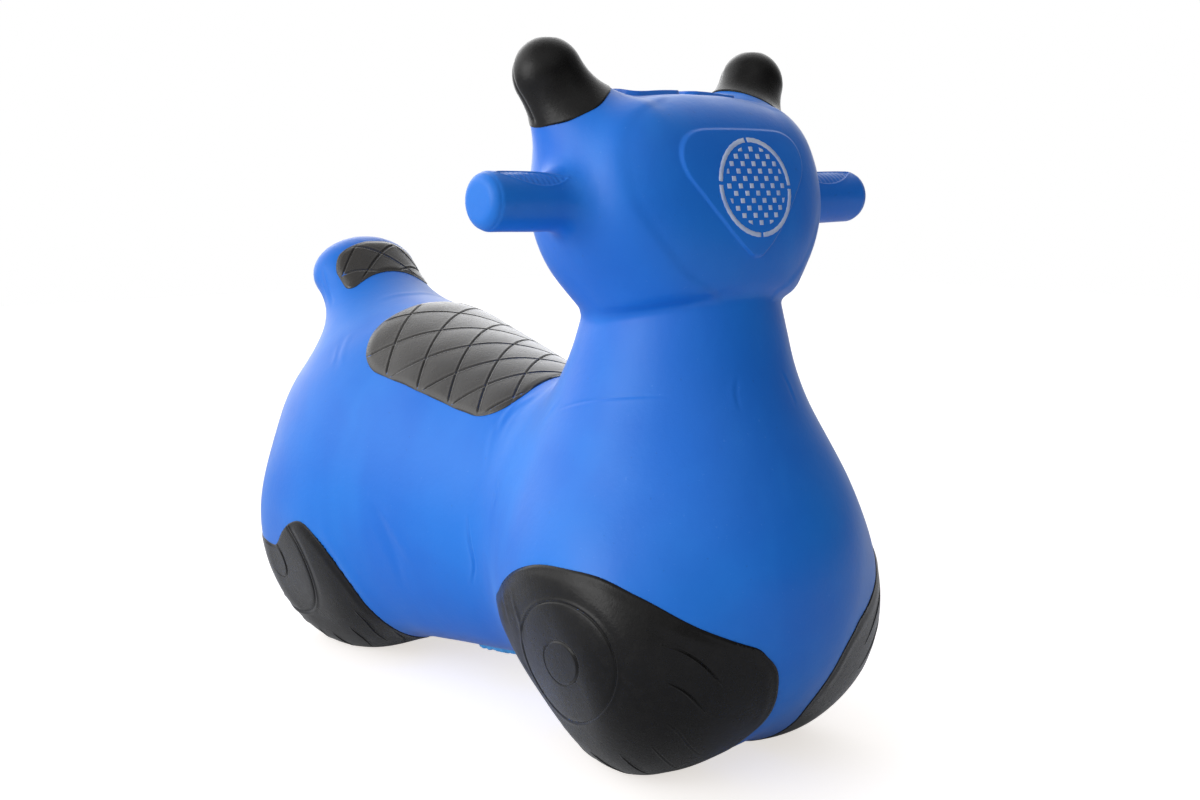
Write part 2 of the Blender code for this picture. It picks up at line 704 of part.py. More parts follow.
def skin_normals(p):
    """Outward directions on the skin, straight down on the flats that stand on the floor."""
    n = gradient(body_field, p)
    n /= np.linalg.norm(n, axis=1)[:, None]
    n[p[:, 2] < SKIN_FLOOR + ON_PLANE] = (0.0, 0.0, -1.0)
    return n


def coat_mesh(bm, tag, thickness, name, side):
    """The faces of one zone as a coat, its underside a gap off the skin; side 1 is the mirror image, 0 the half."""
    part = bm.copy()
    layer = part.faces.layers.int["zone"]
    bmesh.ops.delete(part, geom=[f for f in part.faces if f[layer] != tag], context="FACES")
    p = level_points(part)
    n = skin_normals(p)
    n[np.abs(p[:, 0]) < ON_PLANE, 0] = 0.0
    under = p + n * GAP
    upper = under + n * thickness
    upper[:, 2] = np.maximum(upper[:, 2], 0.0)
    place = part.verts.layers.int.new("place")
    for v in part.verts:
        v[place] = v.index
    raised = set(bmesh.ops.extrude_face_region(part, geom=part.faces[:])["geom"])
    if side == 0:
        cut_face = [f for f in part.faces if all(abs(v.co.x) < ON_PLANE for v in f.verts)]
        bmesh.ops.delete(part, geom=cut_face, context="FACES")
    for v in part.verts:
        v.co = upper[v[place]] if v in raised else under[v[place]]
        if side > 0:
            v.co.x = -v.co.x
    if side > 0:
        bmesh.ops.reverse_faces(part, faces=part.faces[:])
    return mesh_from(part, name)


def shade(mesh, angle=60):
    """Smooth shading, with sharp edges past the angle in degrees."""
    mesh.shade_smooth()
    mesh.set_sharp_from_angle(angle=math.radians(angle))


def add_mirror(obj):
    mirror = obj.modifiers.new("other_half", "MIRROR")
    mirror.merge_threshold = 0.0001
    mirror.use_clip = True


def add_wall(obj, thickness):
    wall = obj.modifiers.new("wall", "SOLIDIFY")
    wall.thickness = thickness
    wall.offset = -1.0


def add_cut(obj, cutter):
    cut = obj.modifiers.new("cut_" + cutter.name, "BOOLEAN")
    cut.operation = "DIFFERENCE"
    cut.object = cutter


def rod_cutter(name, collection, place, radius, length):
    """A closed cylinder along the local Z axis of its place, which cuts a round hole."""
    bm = bmesh.new()
    bmesh.ops.create_cone(bm, cap_ends=True, segments=CUTTER_SEGMENTS, radius1=radius, radius2=radius, depth=length)
    cutter = new_object(name, mesh_from(bm, name), collection)
    cutter.matrix_world = place
    cutter.hide_render = True
    cutter.display_type = "WIRE"
    return cutter


def turned(name, profile, place, collection, closed):
    """A turned piece: the profile of (radius, height) runs down its outer side; a closed one is a ring."""
    points = [(r, 0.0, z) for r, z in profile]
    count = len(points)
    edges = [(i, (i + 1) % count) for i in range(count if closed else count - 1)]
    mesh = bpy.data.meshes.new(name)
    mesh.from_pydata(points, edges, [])
    obj = new_object(name, mesh, collection)
    screw = obj.modifiers.new("turn", "SCREW")
    screw.steps = TURN_STEPS
    screw.render_steps = TURN_STEPS
    screw.use_merge_vertices = True
    screw.merge_threshold = 0.00001
    screw.use_normal_calculate = True
    obj.matrix_world = place
    return obj


def finish_of(name, colour, roughness):
    """A plain Principled finish."""
    finish = bpy.data.materials.new(name)
    finish.use_nodes = True
    shader = finish.node_tree.nodes["Principled BSDF"]
    shader.inputs["Base Color"].default_value = (*colour, 1.0)
    shader.inputs["Roughness"].default_value = roughness
    shader.inputs["Metallic"].default_value = 0.0
    finish.diffuse_color = (*colour, 1.0)
    return finish


def valve_place():
    """The valve's frame: its origin on the rump's skin, local +Z along the way the plug pulls out."""
    tilt = math.radians(VALVE_TILT)
    out = Vector((0.0, math.cos(tilt), math.sin(tilt)))
    start = np.array([Vector(BARREL[0][:3]) + out * BARREL[0][3]])
    point = onto_skin(start)[0]
    return Matrix.Translation(point) @ Matrix.Rotation(tilt - math.pi / 2, 4, "X")


def make_body(bm, parts, cutters):
    """The hollow skin, open at the mould's mouth and at the valve's bore."""
    body = new_object("body_shell", mesh_from(bm.copy(), "body_shell"), parts)
    add_mirror(body)
    add_wall(body, WALL)
    mouth = rod_cutter("mouth", cutters, Matrix.Translation((0.0, DISC_Y, 0.0)), MOUTH_RADIUS, MOUTH_CUT)
    bore = rod_cutter("valve_bore", cutters, valve_place(), BORE_RADIUS, BORE_CUT)
    add_cut(body, mouth)
    add_cut(body, bore)
    return body


def make_coat(bm, name, tag, thickness, parts, side):
    """A coat on one zone: a thin patch that follows the skin; side 0 is one patch across both halves."""
    coat = new_object(name, coat_mesh(bm, tag, thickness, name, side), parts)
    if side == 0:
        add_mirror(coat)
    return coat


def make_sleeve(parts):
    """The valve's sleeve: a flanged tube through the skin, with its bore narrowing inwards."""
    top = GAP + FLANGE_THICKNESS
    profile = [(SLEEVE_BORE, top), (SLEEVE_FLANGE - ROUND, top), (SLEEVE_FLANGE, top - ROUND),
               (SLEEVE_FLANGE, GAP), (SLEEVE_RADIUS, GAP), (SLEEVE_RADIUS - ROUND, -SLEEVE_DEPTH),
               (SLEEVE_BORE - STEM_TAPER, -SLEEVE_DEPTH)]
    return turned("valve_sleeve", profile, valve_place(), parts, True)


def make_plug(parts):
    """The stopper: a tapered stem under a round head."""
    seat = GAP + FLANGE_THICKNESS + GAP
    top = seat + PLUG_HEAD
    stem = SLEEVE_BORE - PLUG_CLEARANCE
    profile = [(0.0, top), (PLUG_HEAD_RADIUS - ROUND, top), (PLUG_HEAD_RADIUS, top - ROUND),
               (PLUG_HEAD_RADIUS, seat + ROUND), (PLUG_HEAD_RADIUS - ROUND, seat), (stem, seat),
               (stem - STEM_TAPER, TIP_LENGTH - SLEEVE_DEPTH), (stem - TIP_TAPER, -SLEEVE_DEPTH), (0.0, -SLEEVE_DEPTH)]
    return turned("valve_plug", profile, valve_place(), parts, False)


def main():
    for obj in list(bpy.data.objects):
        bpy.data.objects.remove(obj)
    parts = bpy.data.collections.new(COLLECTION)
    cutters = bpy.data.collections.new("cutters")
    for collection in (parts, cutters):
        bpy.context.scene.collection.children.link(collection)
    bm = skin_with_zones(parts)
    made = {"body_shell": (make_body(bm, parts, cutters), BLUE, 0.38)}
    for tag, (name, thickness, sides) in enumerate(COATS, start=1):
        for side in sides:
            label = {-1: name + "_right", 0: name, 1: name + "_left"}[side]
            colour = BLUE if name == "belly_disc" else BLACK
            made[label] = (make_coat(bm, label, tag, thickness, parts, side), colour, 0.42)
    made["valve_sleeve"] = (make_sleeve(parts), PALE, 0.45)
    made["valve_plug"] = (make_plug(parts), PALE, 0.35)
    for name, (obj, colour, roughness) in made.items():
        obj.data.materials.append(finish_of(name, colour, roughness))
        shade(obj.data)
    bm.free()


HUBS = ((FRONT_HUB, FRONT_RING, FRONT_BOSS), (REAR_HUB, REAR_RING, REAR_BOSS))
ZONES = (front_coat_zone, rear_coat_zone, seat_coat_zone, tail_coat_zone, mirror_coat_zone, belly_disc_zone)
QUILTED = (ZONES.index(seat_coat_zone) + 1, ZONES.index(tail_coat_zone) + 1)
COATS = (("front_wheel_coat", COAT, (-1, 1)), ("rear_wheel_coat", COAT, (-1, 1)), ("seat_coat", SEAT_COAT, (0,)),
         ("tail_coat", SEAT_COAT, (0,)), ("mirror_coat", COAT, (-1, 1)), ("belly_disc", DISC_THICKNESS, (0,)))

main()
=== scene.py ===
import math

import bpy
import numpy as np
from mathutils import Matrix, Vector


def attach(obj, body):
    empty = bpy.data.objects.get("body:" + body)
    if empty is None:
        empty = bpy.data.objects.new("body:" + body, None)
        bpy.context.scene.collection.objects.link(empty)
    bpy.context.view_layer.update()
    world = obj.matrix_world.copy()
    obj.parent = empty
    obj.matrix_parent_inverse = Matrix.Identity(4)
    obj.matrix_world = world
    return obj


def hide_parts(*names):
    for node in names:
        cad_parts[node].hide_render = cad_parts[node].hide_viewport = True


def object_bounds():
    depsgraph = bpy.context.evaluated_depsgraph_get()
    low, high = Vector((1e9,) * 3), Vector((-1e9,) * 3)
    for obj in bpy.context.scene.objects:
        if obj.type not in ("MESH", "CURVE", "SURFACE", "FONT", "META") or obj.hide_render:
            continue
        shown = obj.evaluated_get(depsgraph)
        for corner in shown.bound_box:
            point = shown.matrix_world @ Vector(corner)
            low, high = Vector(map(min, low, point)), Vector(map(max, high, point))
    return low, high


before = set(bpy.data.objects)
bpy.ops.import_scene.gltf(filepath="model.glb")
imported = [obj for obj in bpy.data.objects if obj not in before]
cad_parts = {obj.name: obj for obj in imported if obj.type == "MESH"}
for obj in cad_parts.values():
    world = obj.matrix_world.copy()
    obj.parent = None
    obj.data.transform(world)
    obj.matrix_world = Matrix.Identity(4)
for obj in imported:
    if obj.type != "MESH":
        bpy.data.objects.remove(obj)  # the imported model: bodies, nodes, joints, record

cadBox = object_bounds()  # the CAD model's box, before anything is added

# Metres. The front faces -Y, the rider's right is -X, the floor is z = 0.
# The toy is one inflated moulding, so its form is one field: negative inside, zero on the skin.

form = {
    "barrel": ((0.0, 0.1535, 0.147, 0.1513), (0.0, -0.0495, 0.1385, 0.1066)),  # x, y, z, radius at each end
    "barrelWidth": 0.837,
    "bellyLevel": 0.012,
    "bellyBlend": 0.040,
    "chest": ((0.0, -0.187, 0.127), (0.1146, 0.118, 0.1192)),
    "neck": ((0.0, -0.1645, 0.1603, 0.1052), (0.0, -0.171, 0.327, 0.0625)),
    "head": ((0.0, -0.171, 0.353, 0.0786), (0.0, -0.165, 0.3885, 0.0976)),
    "headWidth": 1.089,
    "headTop": 0.460,
    "headEdge": 0.035,
    "faceY": -0.2375,
    "faceZ": 0.395,
    "faceSlope": 0.24,
    "chinLevel": 0.306,
    "chinSlope": -0.254,
    "chinY": -0.1645,
    "chinEdge": 0.010,
    "tail": ((0.0, 0.1905, 0.2598, 0.0304), (0.0, 0.2493, 0.3178, 0.0322)),
    "tailWidth": 1.54,
    "mirror": ((0.0743, -0.1535, 0.4282, 0.0224), (0.0951, -0.141, 0.4688, 0.0239)),
    "mirrorDepth": 0.911,
    "handle": (0.05, 0.1747, -0.171, 0.3875, 0.0189),  # start x, end x, y, z, radius
    "handleEdge": 0.009,
    "handleSweep": -0.0175,
    "handleLift": 0.019,
    "frontWheel": ((0.0666, -0.1765, 0.0861), 0.0394, -0.241, 0.311),  # centre, half width, camber, toe
    "rearWheel": ((0.0594, 0.1878, 0.0818), 0.0371, -0.203, -0.180),
    "wheelShoulder": 0.035,
    "blends": {"body": 0.070, "neck": 0.050, "wheel": 0.050, "tail": 0.035, "mirror": 0.030, "handle": 0.015,
               "chin": 0.006},
    "floorGap": 0.0009,  # height of the flattened feet, and the height over which their edge turns up
    "floorEdge": 0.002,
}


def smoothMin(a, b, blend):
    # the lower of two fields, rounded over the blend width
    h = np.clip(0.5 + 0.5 * (b - a) / blend, 0.0, 1.0)
    return b * (1.0 - h) + a * h - blend * h * (1.0 - h)


def smoothMax(a, b, blend):
    # the higher of two fields, rounded over the blend width
    return -smoothMin(-a, -b, blend)


def smoothStep(x, low, high):
    # 0 below low, 1 above high, and 3t^2 - 2t^3 between
    t = np.clip((x - low) / (high - low), 0.0, 1.0)
    return t * t * (3.0 - 2.0 * t)


def bell(x, width):
    # exp(-(x / width)^2), a soft ridge across a line
    return np.exp(-(x / width) ** 2)


def roundCone(p, ends, scale=(1.0, 1.0, 1.0)):
    # distance to the hull of two balls, stretched about the second one
    start = np.array(ends[0][:3])
    stop = np.array(ends[1][:3])
    stretch = np.array(scale)
    q = (p - stop) / stretch + stop - start
    axis = stop - start
    length = np.linalg.norm(axis)
    taper = (ends[0][3] - ends[1][3]) / length
    along = q @ axis / length
    across = np.sqrt(np.maximum((q * q).sum(-1) - along * along, 0.0))
    t = np.clip(along - across * taper / math.sqrt(1.0 - taper * taper), 0.0, length)
    return (np.hypot(across, along - t) - ends[0][3] + taper * t) * min(1.0, stretch.min())


def ellipsoid(p, centre, radii):
    # |q/r| (|q/r| - 1) / |q/r^2|, near enough the distance
    q = (p - np.array(centre)) / np.array(radii)
    size = np.linalg.norm(q, axis=-1)
    slope = np.linalg.norm(q / np.array(radii), axis=-1)
    return size * (size - 1.0) / np.maximum(slope, 1e-9)


def roundedPlate(across, along, radius):
    # the larger of two distances, with a round corner where both are nothing
    a = across + radius
    b = along + radius
    return np.minimum(np.maximum(a, b), 0.0) + np.hypot(np.maximum(a, 0.0), np.maximum(b, 0.0)) - radius


def wheelAxes(q, wheel):
    # a point's place along a wheel's leaning axis, ahead of it and above it
    centre, _, camber, toe = wheel
    d = q - np.array(centre)
    x = math.cos(toe) * d[..., 0] + math.sin(toe) * d[..., 1]
    ahead = -math.sin(toe) * d[..., 0] + math.cos(toe) * d[..., 1]
    along = math.cos(camber) * x + math.sin(camber) * d[..., 2]
    above = -math.sin(camber) * x + math.cos(camber) * d[..., 2]
    return along, ahead, above


def wheelField(q, wheel):
    # a drum about the leaning axis that just reaches the floor, with round shoulders
    along, ahead, above = wheelAxes(q, wheel)
    return roundedPlate(np.abs(along) - wheel[1], np.hypot(ahead, above) - wheel[0][2], form["wheelShoulder"])


def handleField(q):
    # a drum whose axis is sheared back and up with the distance from its end
    start, end, y, z, radius = form["handle"]
    reach = q[..., 0] - end
    across = np.hypot(q[..., 1] - y - form["handleSweep"] * reach, q[..., 2] - z - form["handleLift"] * reach)
    half = (end - start) / 2
    return roundedPlate(np.abs(reach + half) - half, across - radius, form["handleEdge"])


def bodyField(p):
    # every round form of the toy flows into the next one by a smooth minimum
    f = form
    blends = f["blends"]
    q = p.copy()
    q[..., 0] = np.abs(q[..., 0])
    z = p[..., 2]
    barrel = roundCone(p, f["barrel"], (f["barrelWidth"], 1.0, 1.0))
    barrel = smoothMax(barrel, f["bellyLevel"] - z, f["bellyBlend"])
    head = smoothMax(roundCone(p, f["head"], (f["headWidth"], 1.0, 1.0)), z - f["headTop"], f["headEdge"])
    face = (f["faceY"] + f["faceSlope"] * (z - f["faceZ"]) - p[..., 1]) / math.hypot(1.0, f["faceSlope"])
    head = smoothMax(head, face, f["headEdge"])
    chin = f["chinLevel"] + f["chinSlope"] * (p[..., 1] - f["chinY"]) - z
    head = smoothMax(head, chin, f["chinEdge"])
    whole = smoothMin(barrel, ellipsoid(p, *f["chest"]), blends["body"])
    whole = smoothMin(whole, roundCone(p, f["neck"]), blends["neck"])
    whole = smoothMin(whole, head, blends["chin"])
    whole = smoothMin(whole, wheelField(q, f["frontWheel"]), blends["wheel"])
    whole = smoothMin(whole, wheelField(q, f["rearWheel"]), blends["wheel"])
    whole = smoothMin(whole, roundCone(q, f["mirror"], (1.0, f["mirrorDepth"], 1.0)), blends["mirror"])
    whole = smoothMin(whole, handleField(q), blends["handle"])
    return smoothMin(whole, roundCone(p, f["tail"], (f["tailWidth"], 1.0, 1.0)), blends["tail"])


def slopeOf(field, p, step=0.0004):
    # a field's slope by central differences
    slope = np.zeros_like(p)
    for i in range(3):
        offset = np.zeros(3)
        offset[i] = step
        slope[:, i] = (field(p + offset) - field(p - offset)) / (2 * step)
    return slope


def ontoSkin(p, rounds=3):
    # Newton steps down the field's slope until the point lies on the skin
    flattest, longest = 0.05, 0.01  # least squared slope and longest step
    for _ in range(rounds):
        slope = slopeOf(bodyField, p)
        step = bodyField(p) / np.maximum((slope * slope).sum(-1), flattest)
        p = p - slope * np.clip(step, -longest, longest)[:, None]
    return p


def settled(p):
    # on the skin, flattened where the soft wheels stand on the floor, with the outward directions there
    p = ontoSkin(p)
    low = form["floorGap"]
    p[:, 2] = np.maximum(p[:, 2], low)
    normals = slopeOf(bodyField, p)
    normals /= np.linalg.norm(normals, axis=1)[:, None]
    squash = smoothStep(p[:, 2], low, low + form["floorEdge"])[:, None]
    normals = normals * squash + np.array([0.0, 0.0, -1.0]) * (1.0 - squash)
    return p, normals / np.linalg.norm(normals, axis=1)[:, None]


def mirrored(p):
    # the same point on the rider's right side
    q = p.copy()
    q[:, 0] = -np.abs(q[:, 0])
    return q


def ripple(p, wavelength, seed, waves=7):
    # sum of sine waves in scattered directions, about -1 to 1
    rng = np.random.default_rng(seed)
    total = np.zeros(len(p))
    for _ in range(waves):
        direction = rng.normal(size=3)
        direction *= 2 * math.pi / wavelength / np.linalg.norm(direction) * rng.uniform(0.7, 1.4)
        total += np.sin(p @ direction + rng.uniform(0, 2 * math.pi))
    return total / math.sqrt(waves)


def smoothCurve(x, knots):
    # cubic through the knots, with each slope from its neighbours
    xs, ys = np.array(knots).T
    slopes = np.gradient(ys, xs)
    i = np.clip(np.searchsorted(xs, x) - 1, 0, len(xs) - 2)
    span = xs[i + 1] - xs[i]
    t = np.clip((x - xs[i]) / span, 0.0, 1.0)
    rise = ys[i + 1] - ys[i]
    start = slopes[i] * span
    stop = slopes[i + 1] * span
    return ys[i] + start * t + (3 * rise - 2 * start - stop) * t ** 2 + (start + stop - 2 * rise) * t ** 3


def traced(points, steps=6):
    # a smooth line through the points, the cubic run through each coordinate by the point's number
    n = np.arange(len(points), dtype=float)
    t = np.linspace(0, len(points) - 1, steps * (len(points) - 1) + 1)
    columns = np.array(points, float).T
    return np.stack([smoothCurve(t, list(zip(n, c))) for c in columns], -1)


lineReach = 0.02  # how far from a line through space its relief may reach


def nearestOnLine(p, line):
    # for the points near a line: which they are, their distance, the way there from the line's nearest place,
    # the line's direction there, and that place as a share of the line's length
    near = np.nonzero(((p > line.min(0) - lineReach) & (p < line.max(0) + lineReach)).all(1))[0]
    distance = np.full(len(near), 1.0)
    away, toward, share = np.zeros((len(near), 3)), np.zeros((len(near), 3)), np.zeros(len(near))
    lengths = np.linalg.norm(np.diff(line, axis=0), axis=1)
    starts = np.concatenate([[0.0], np.cumsum(lengths)[:-1]]) / lengths.sum()
    for i in range(len(line) - 1):
        step = line[i + 1] - line[i]
        d = p[near] - line[i]
        t = np.clip(d @ step / (step @ step), 0.0, 1.0)
        miss = d - t[:, None] * step
        size = np.linalg.norm(miss, axis=1)
        closer = size < distance
        away[closer], toward[closer] = miss[closer], step
        share[closer] = (starts[i] + t * lengths[i] / lengths.sum())[closer]
        distance = np.minimum(distance, size)
    return near, distance, away, toward, share


def besideLine(p, normals, line):
    # side distance from a line, signed by the skin's own side and 1 far from it, and 0 to 1 along it
    near, distance, away, toward, share = nearestOnLine(p, line)
    side, along = np.full(len(p), 1.0), np.zeros(len(p))
    side[near] = distance * np.sign((np.cross(toward, normals[near]) * away).sum(1))
    along[near] = share
    return side, along


def distanceTo(p, line):
    # plain distance from a line, 1 far from it
    near, distance = nearestOnLine(p, line)[:2]
    away = np.full(len(p), 1.0)
    away[near] = distance
    return away


def finer(size, away, near, fine, growth=0.5):
    # edge length wanted: fine as far as near from a sharp line, then growing with the distance up to the size
    return np.minimum(size, fine + growth * np.maximum(away - near, 0.0))


def latticeSkin(step):
    # surface nets: one point in each cell of a lattice that the skin crosses, a face round each crossed edge
    low, high = np.array(cadBox[0]) - 2 * step, np.array(cadBox[1]) + 2 * step
    half = np.arange(-math.ceil(-low[0] / step), 1) * step
    axes = [half, np.arange(low[1], high[1], step), np.arange(low[2], high[2], step)]
    lattice = np.stack(np.meshgrid(*axes, indexing="ij"), -1)
    values = bodyField(lattice)
    values = np.concatenate([values, values[-2::-1]])
    inside = values < 0
    cells = np.array(values.shape) - 1
    total = np.zeros((*cells, 3))
    count = np.zeros(cells)
    crossings = []
    for a in range(3):
        b, c = (a + 1) % 3, (a + 2) % 3
        first = [slice(None)] * 3
        second = [slice(None)] * 3
        first[a], second[a] = slice(0, -1), slice(1, None)
        crossed = inside[tuple(first)] != inside[tuple(second)]
        share = values[tuple(first)] / np.where(crossed, values[tuple(first)] - values[tuple(second)], 1.0)
        crossings.append((crossed, inside[tuple(first)]))
        for i in (0, 1):
            for j in (0, 1):
                part = [slice(None)] * 3
                part[b], part[c] = slice(i, i + cells[b]), slice(j, j + cells[c])
                here = crossed[tuple(part)]
                place = np.zeros((*here.shape, 3))
                place[..., a] = share[tuple(part)]
                place[..., b] = i
                place[..., c] = j
                total += place * here[..., None]
                count += here
    active = count > 0
    number = np.full(cells, -1)
    number[active] = np.arange(active.sum())
    corner = np.stack(np.nonzero(active), -1)
    points = (corner + total[active] / count[active][:, None]) * step
    points += np.array([half[0], low[1], low[2]])
    quads = []
    for a, (crossed, firstInside) in enumerate(crossings):
        b, c = (a + 1) % 3, (a + 2) % 3
        place = np.stack(np.nonzero(crossed), -1)
        turn = []
        for i, j in ((-1, -1), (0, -1), (0, 0), (-1, 0)):
            cell = place.copy()
            cell[:, b] += i
            cell[:, c] += j
            turn.append(number[tuple(cell.T)])
        quad = np.stack(turn, -1)
        flip = ~firstInside[crossed]
        quad[flip] = quad[flip][:, ::-1]
        quads.append(quad)
    return points, np.concatenate(quads)


def halvedQuads(points, quads):
    # each quad cut along its shorter diagonal
    p = points[:, :3]
    shortFirst = np.linalg.norm(p[quads[:, 0]] - p[quads[:, 2]], axis=1) < np.linalg.norm(
        p[quads[:, 1]] - p[quads[:, 3]], axis=1)
    a, b = quads[shortFirst], quads[~shortFirst]
    return np.concatenate([a[:, [0, 1, 2]], a[:, [0, 2, 3]], b[:, [0, 1, 3]], b[:, [1, 2, 3]]])


def splitLong(points, faces, sizeAt, rounds=6):
    # every edge longer than the size wanted at its middle gets a point there, and its triangles are cut there
    for _ in range(rounds):
        count = len(points)
        sides = np.sort(faces[:, [0, 1, 1, 2, 2, 0]].reshape(-1, 2), 1)
        keys, inverse = np.unique(sides[:, 0] * count + sides[:, 1], return_inverse=True)
        a, b = keys // count, keys % count
        middle = (points[a] + points[b]) / 2
        long = np.linalg.norm(points[a, :3] - points[b, :3], axis=1) > sizeAt(middle)
        if not long.any():
            break
        number = np.full(len(keys), -1)
        number[long] = count + np.arange(long.sum())
        points = np.concatenate([points, middle[long]])
        cuts = number[inverse.reshape(-1)].reshape(-1, 3)
        howMany = (cuts >= 0).sum(1)
        made = [faces[howMany == 0]]
        for shift in range(3):
            turn = [shift, (shift + 1) % 3, (shift + 2) % 3]
            f, m = faces[:, turn], cuts[:, turn]
            one = (howMany == 1) & (m[:, 0] >= 0)
            v0, v1, v2 = f[one].T
            made += [np.stack([v0, m[one, 0], v2], 1), np.stack([m[one, 0], v1, v2], 1)]
            two = (howMany == 2) & (m[:, 2] < 0)
            v0, v1, v2 = f[two].T
            m0, m1 = m[two, 0], m[two, 1]
            made += [np.stack([m0, v1, m1], 1), np.stack([v0, m0, m1], 1), np.stack([v0, m1, v2], 1)]
        v0, v1, v2 = faces[howMany == 3].T
        m0, m1, m2 = cuts[howMany == 3].T
        made += [np.stack([v0, m0, m2], 1), np.stack([m0, v1, m1], 1), np.stack([m2, m1, v2], 1),
                 np.stack([m0, m1, m2], 1)]
        faces = np.concatenate(made)
    return points, faces


def insideBy(zone, p, normals):
    # how far inside a zone's outline a point lies: minus the zone over its slope along the skin
    slope = slopeOf(zone, p)
    slope -= normals * (slope * normals).sum(1)[:, None]
    least = 0.3
    return -zone(p) / np.maximum(np.linalg.norm(slope, axis=1), least)


def heldInBox(points):
    # the last stretch before the CAD model's box is squeezed so that no point leaves it
    held, reach = points.copy(), 0.0008
    for axis, side in ((0, 1), (0, -1), (1, 1), (1, -1), (2, 1)):
        limit = max(side * cadBox[0][axis], side * cadBox[1][axis])
        beyond = side * held[:, axis] - (limit - reach)
        squeezed = limit - reach * np.exp(-np.maximum(beyond, 0.0) / reach)
        held[:, axis] = np.where(beyond > 0, side * squeezed, held[:, axis])
    return held


def makePiece(name, points, faces, finish, body="toy", tone=None, replaces=()):
    # a mesh object with its finish, its body, its slot and the CAD nodes that it takes the place of
    points = heldInBox(points)
    mesh = bpy.data.meshes.new(name)
    mesh.from_pydata(points.tolist(), [], faces.tolist())
    mesh.shade_smooth()
    if tone is not None:
        mesh.attributes.new("tone", "FLOAT", "POINT").data.foreach_set("value", tone.astype(np.float32))
    mesh.materials.append(finish)
    piece = bpy.data.objects.new(name, mesh)
    bpy.context.scene.collection.objects.link(piece)
    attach(piece, body)
    if replaces:
        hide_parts(*replaces)
    print(name, len(faces), "faces")
    return piece


def castOut(start, directions):
    # where each ray from inside leaves the form: it goes on by the field's depth until that is nothing
    first, rounds, share = 0.002, 34, 0.97
    t = np.full(len(directions), first)
    for _ in range(rounds):
        t -= share * bodyField(start + directions * t[:, None])
    return start + directions * t[:, None]


def facingOut(points, faces, middle):
    # the faces as they are, or turned round if their first one looks towards the middle
    a, b, c = points[faces[0, :3]]
    return faces if np.cross(b - a, c - a) @ (a - middle) > 0 else faces[:, ::-1]


def rayFan(coat):
    # closed mesh of a coat: rays from a point inside the form lean from an axis by a share of the angle at
    # which they meet the coat's outline. The last two columns are the depth of a point below the skin and
    # its side, 0 on top, 0.5 on the lip and 1 below
    start, axis, zone = np.array(coat["from"]), np.array(coat["axis"], float), coat["zone"]
    axis /= np.linalg.norm(axis)
    across = np.cross(axis, [0.0, 1.0, 0.3])
    across /= np.linalg.norm(across)
    upward = np.cross(axis, across)
    turn = np.arange(coat["spokes"]) * 2 * math.pi / coat["spokes"]
    around = np.outer(np.cos(turn), across) + np.outer(np.sin(turn), upward)

    def directions(lean):
        # lean has a row of angles for each ring
        return axis * np.cos(lean)[..., None] + around * np.sin(lean)[..., None]

    firstLean, leanStep, rounds = 2.0, 1.5, 8  # degrees, and how often the edge is narrowed down
    scan = np.radians(np.arange(firstLean, coat["widest"], leanStep))
    lean = np.repeat(scan[:, None], coat["spokes"], 1)
    hit = castOut(start, directions(lean).reshape(-1, 3))
    value = zone(hit).reshape(lean.shape)
    first = np.maximum((value > 0).argmax(0), 1)
    column = np.arange(coat["spokes"])
    low, high = scan[first - 1], scan[first]
    lowValue, highValue = value[first - 1, column], value[first, column]
    edge = low + (high - low) * lowValue / (lowValue - highValue)
    for _ in range(rounds):
        hit = castOut(start, directions(edge))
        value = zone(hit)
        low, lowValue = np.where(value < 0, edge, low), np.where(value < 0, value, lowValue)
        high, highValue = np.where(value < 0, high, edge), np.where(value < 0, highValue, value)
        edge = low + (high - low) * np.clip(lowValue / (lowValue - highValue), 0.1, 0.9)
    rings = coat["rings"]
    widest, narrowest, lipShare = 0.96, 0.1, 0.6  # the underside's rings, and the first one's depth
    under = np.linspace(widest, narrowest, coat["under"])
    shares = np.concatenate([np.arange(1, rings + 1) / rings, [1.0], under])
    depths = np.concatenate([np.zeros(rings), [coat["lip"]], np.full(coat["under"], coat["thickness"])])
    depths[rings + 1] = coat["thickness"] * lipShare
    shells = np.concatenate([np.zeros(rings), [0.5], np.ones(coat["under"])])
    grid = castOut(start, directions(shares[:, None] * edge).reshape(-1, 3))
    pole = castOut(start, axis[None, :])
    points = np.concatenate([grid, pole, pole])
    extra = np.stack([np.repeat(depths, coat["spokes"]), np.repeat(shells, coat["spokes"])], 1)
    extra = np.concatenate([extra, [[0.0, 0.0], [coat["thickness"], 1.0]]])
    ring = np.arange(len(shares) - 1)[:, None] * coat["spokes"]
    here, there = column, np.roll(column, -1)
    beyond = ring + coat["spokes"]
    quads = np.stack([ring + here, beyond + here, beyond + there, ring + there], -1).reshape(-1, 4)
    top, bottom = len(grid), len(grid) + 1
    lastRing = (len(shares) - 1) * coat["spokes"]
    caps = [np.stack([np.full(coat["spokes"], top), here, there], 1),
            np.stack([np.full(coat["spokes"], bottom), lastRing + there, lastRing + here], 1)]
    faces = np.concatenate([halvedQuads(points, quads)] + caps)
    return np.concatenate([points, extra], 1), facingOut(points, faces, start)


# The blue skin: pads, plates, folds and the grips' ribbed lenses, in metres, on the rider's right side

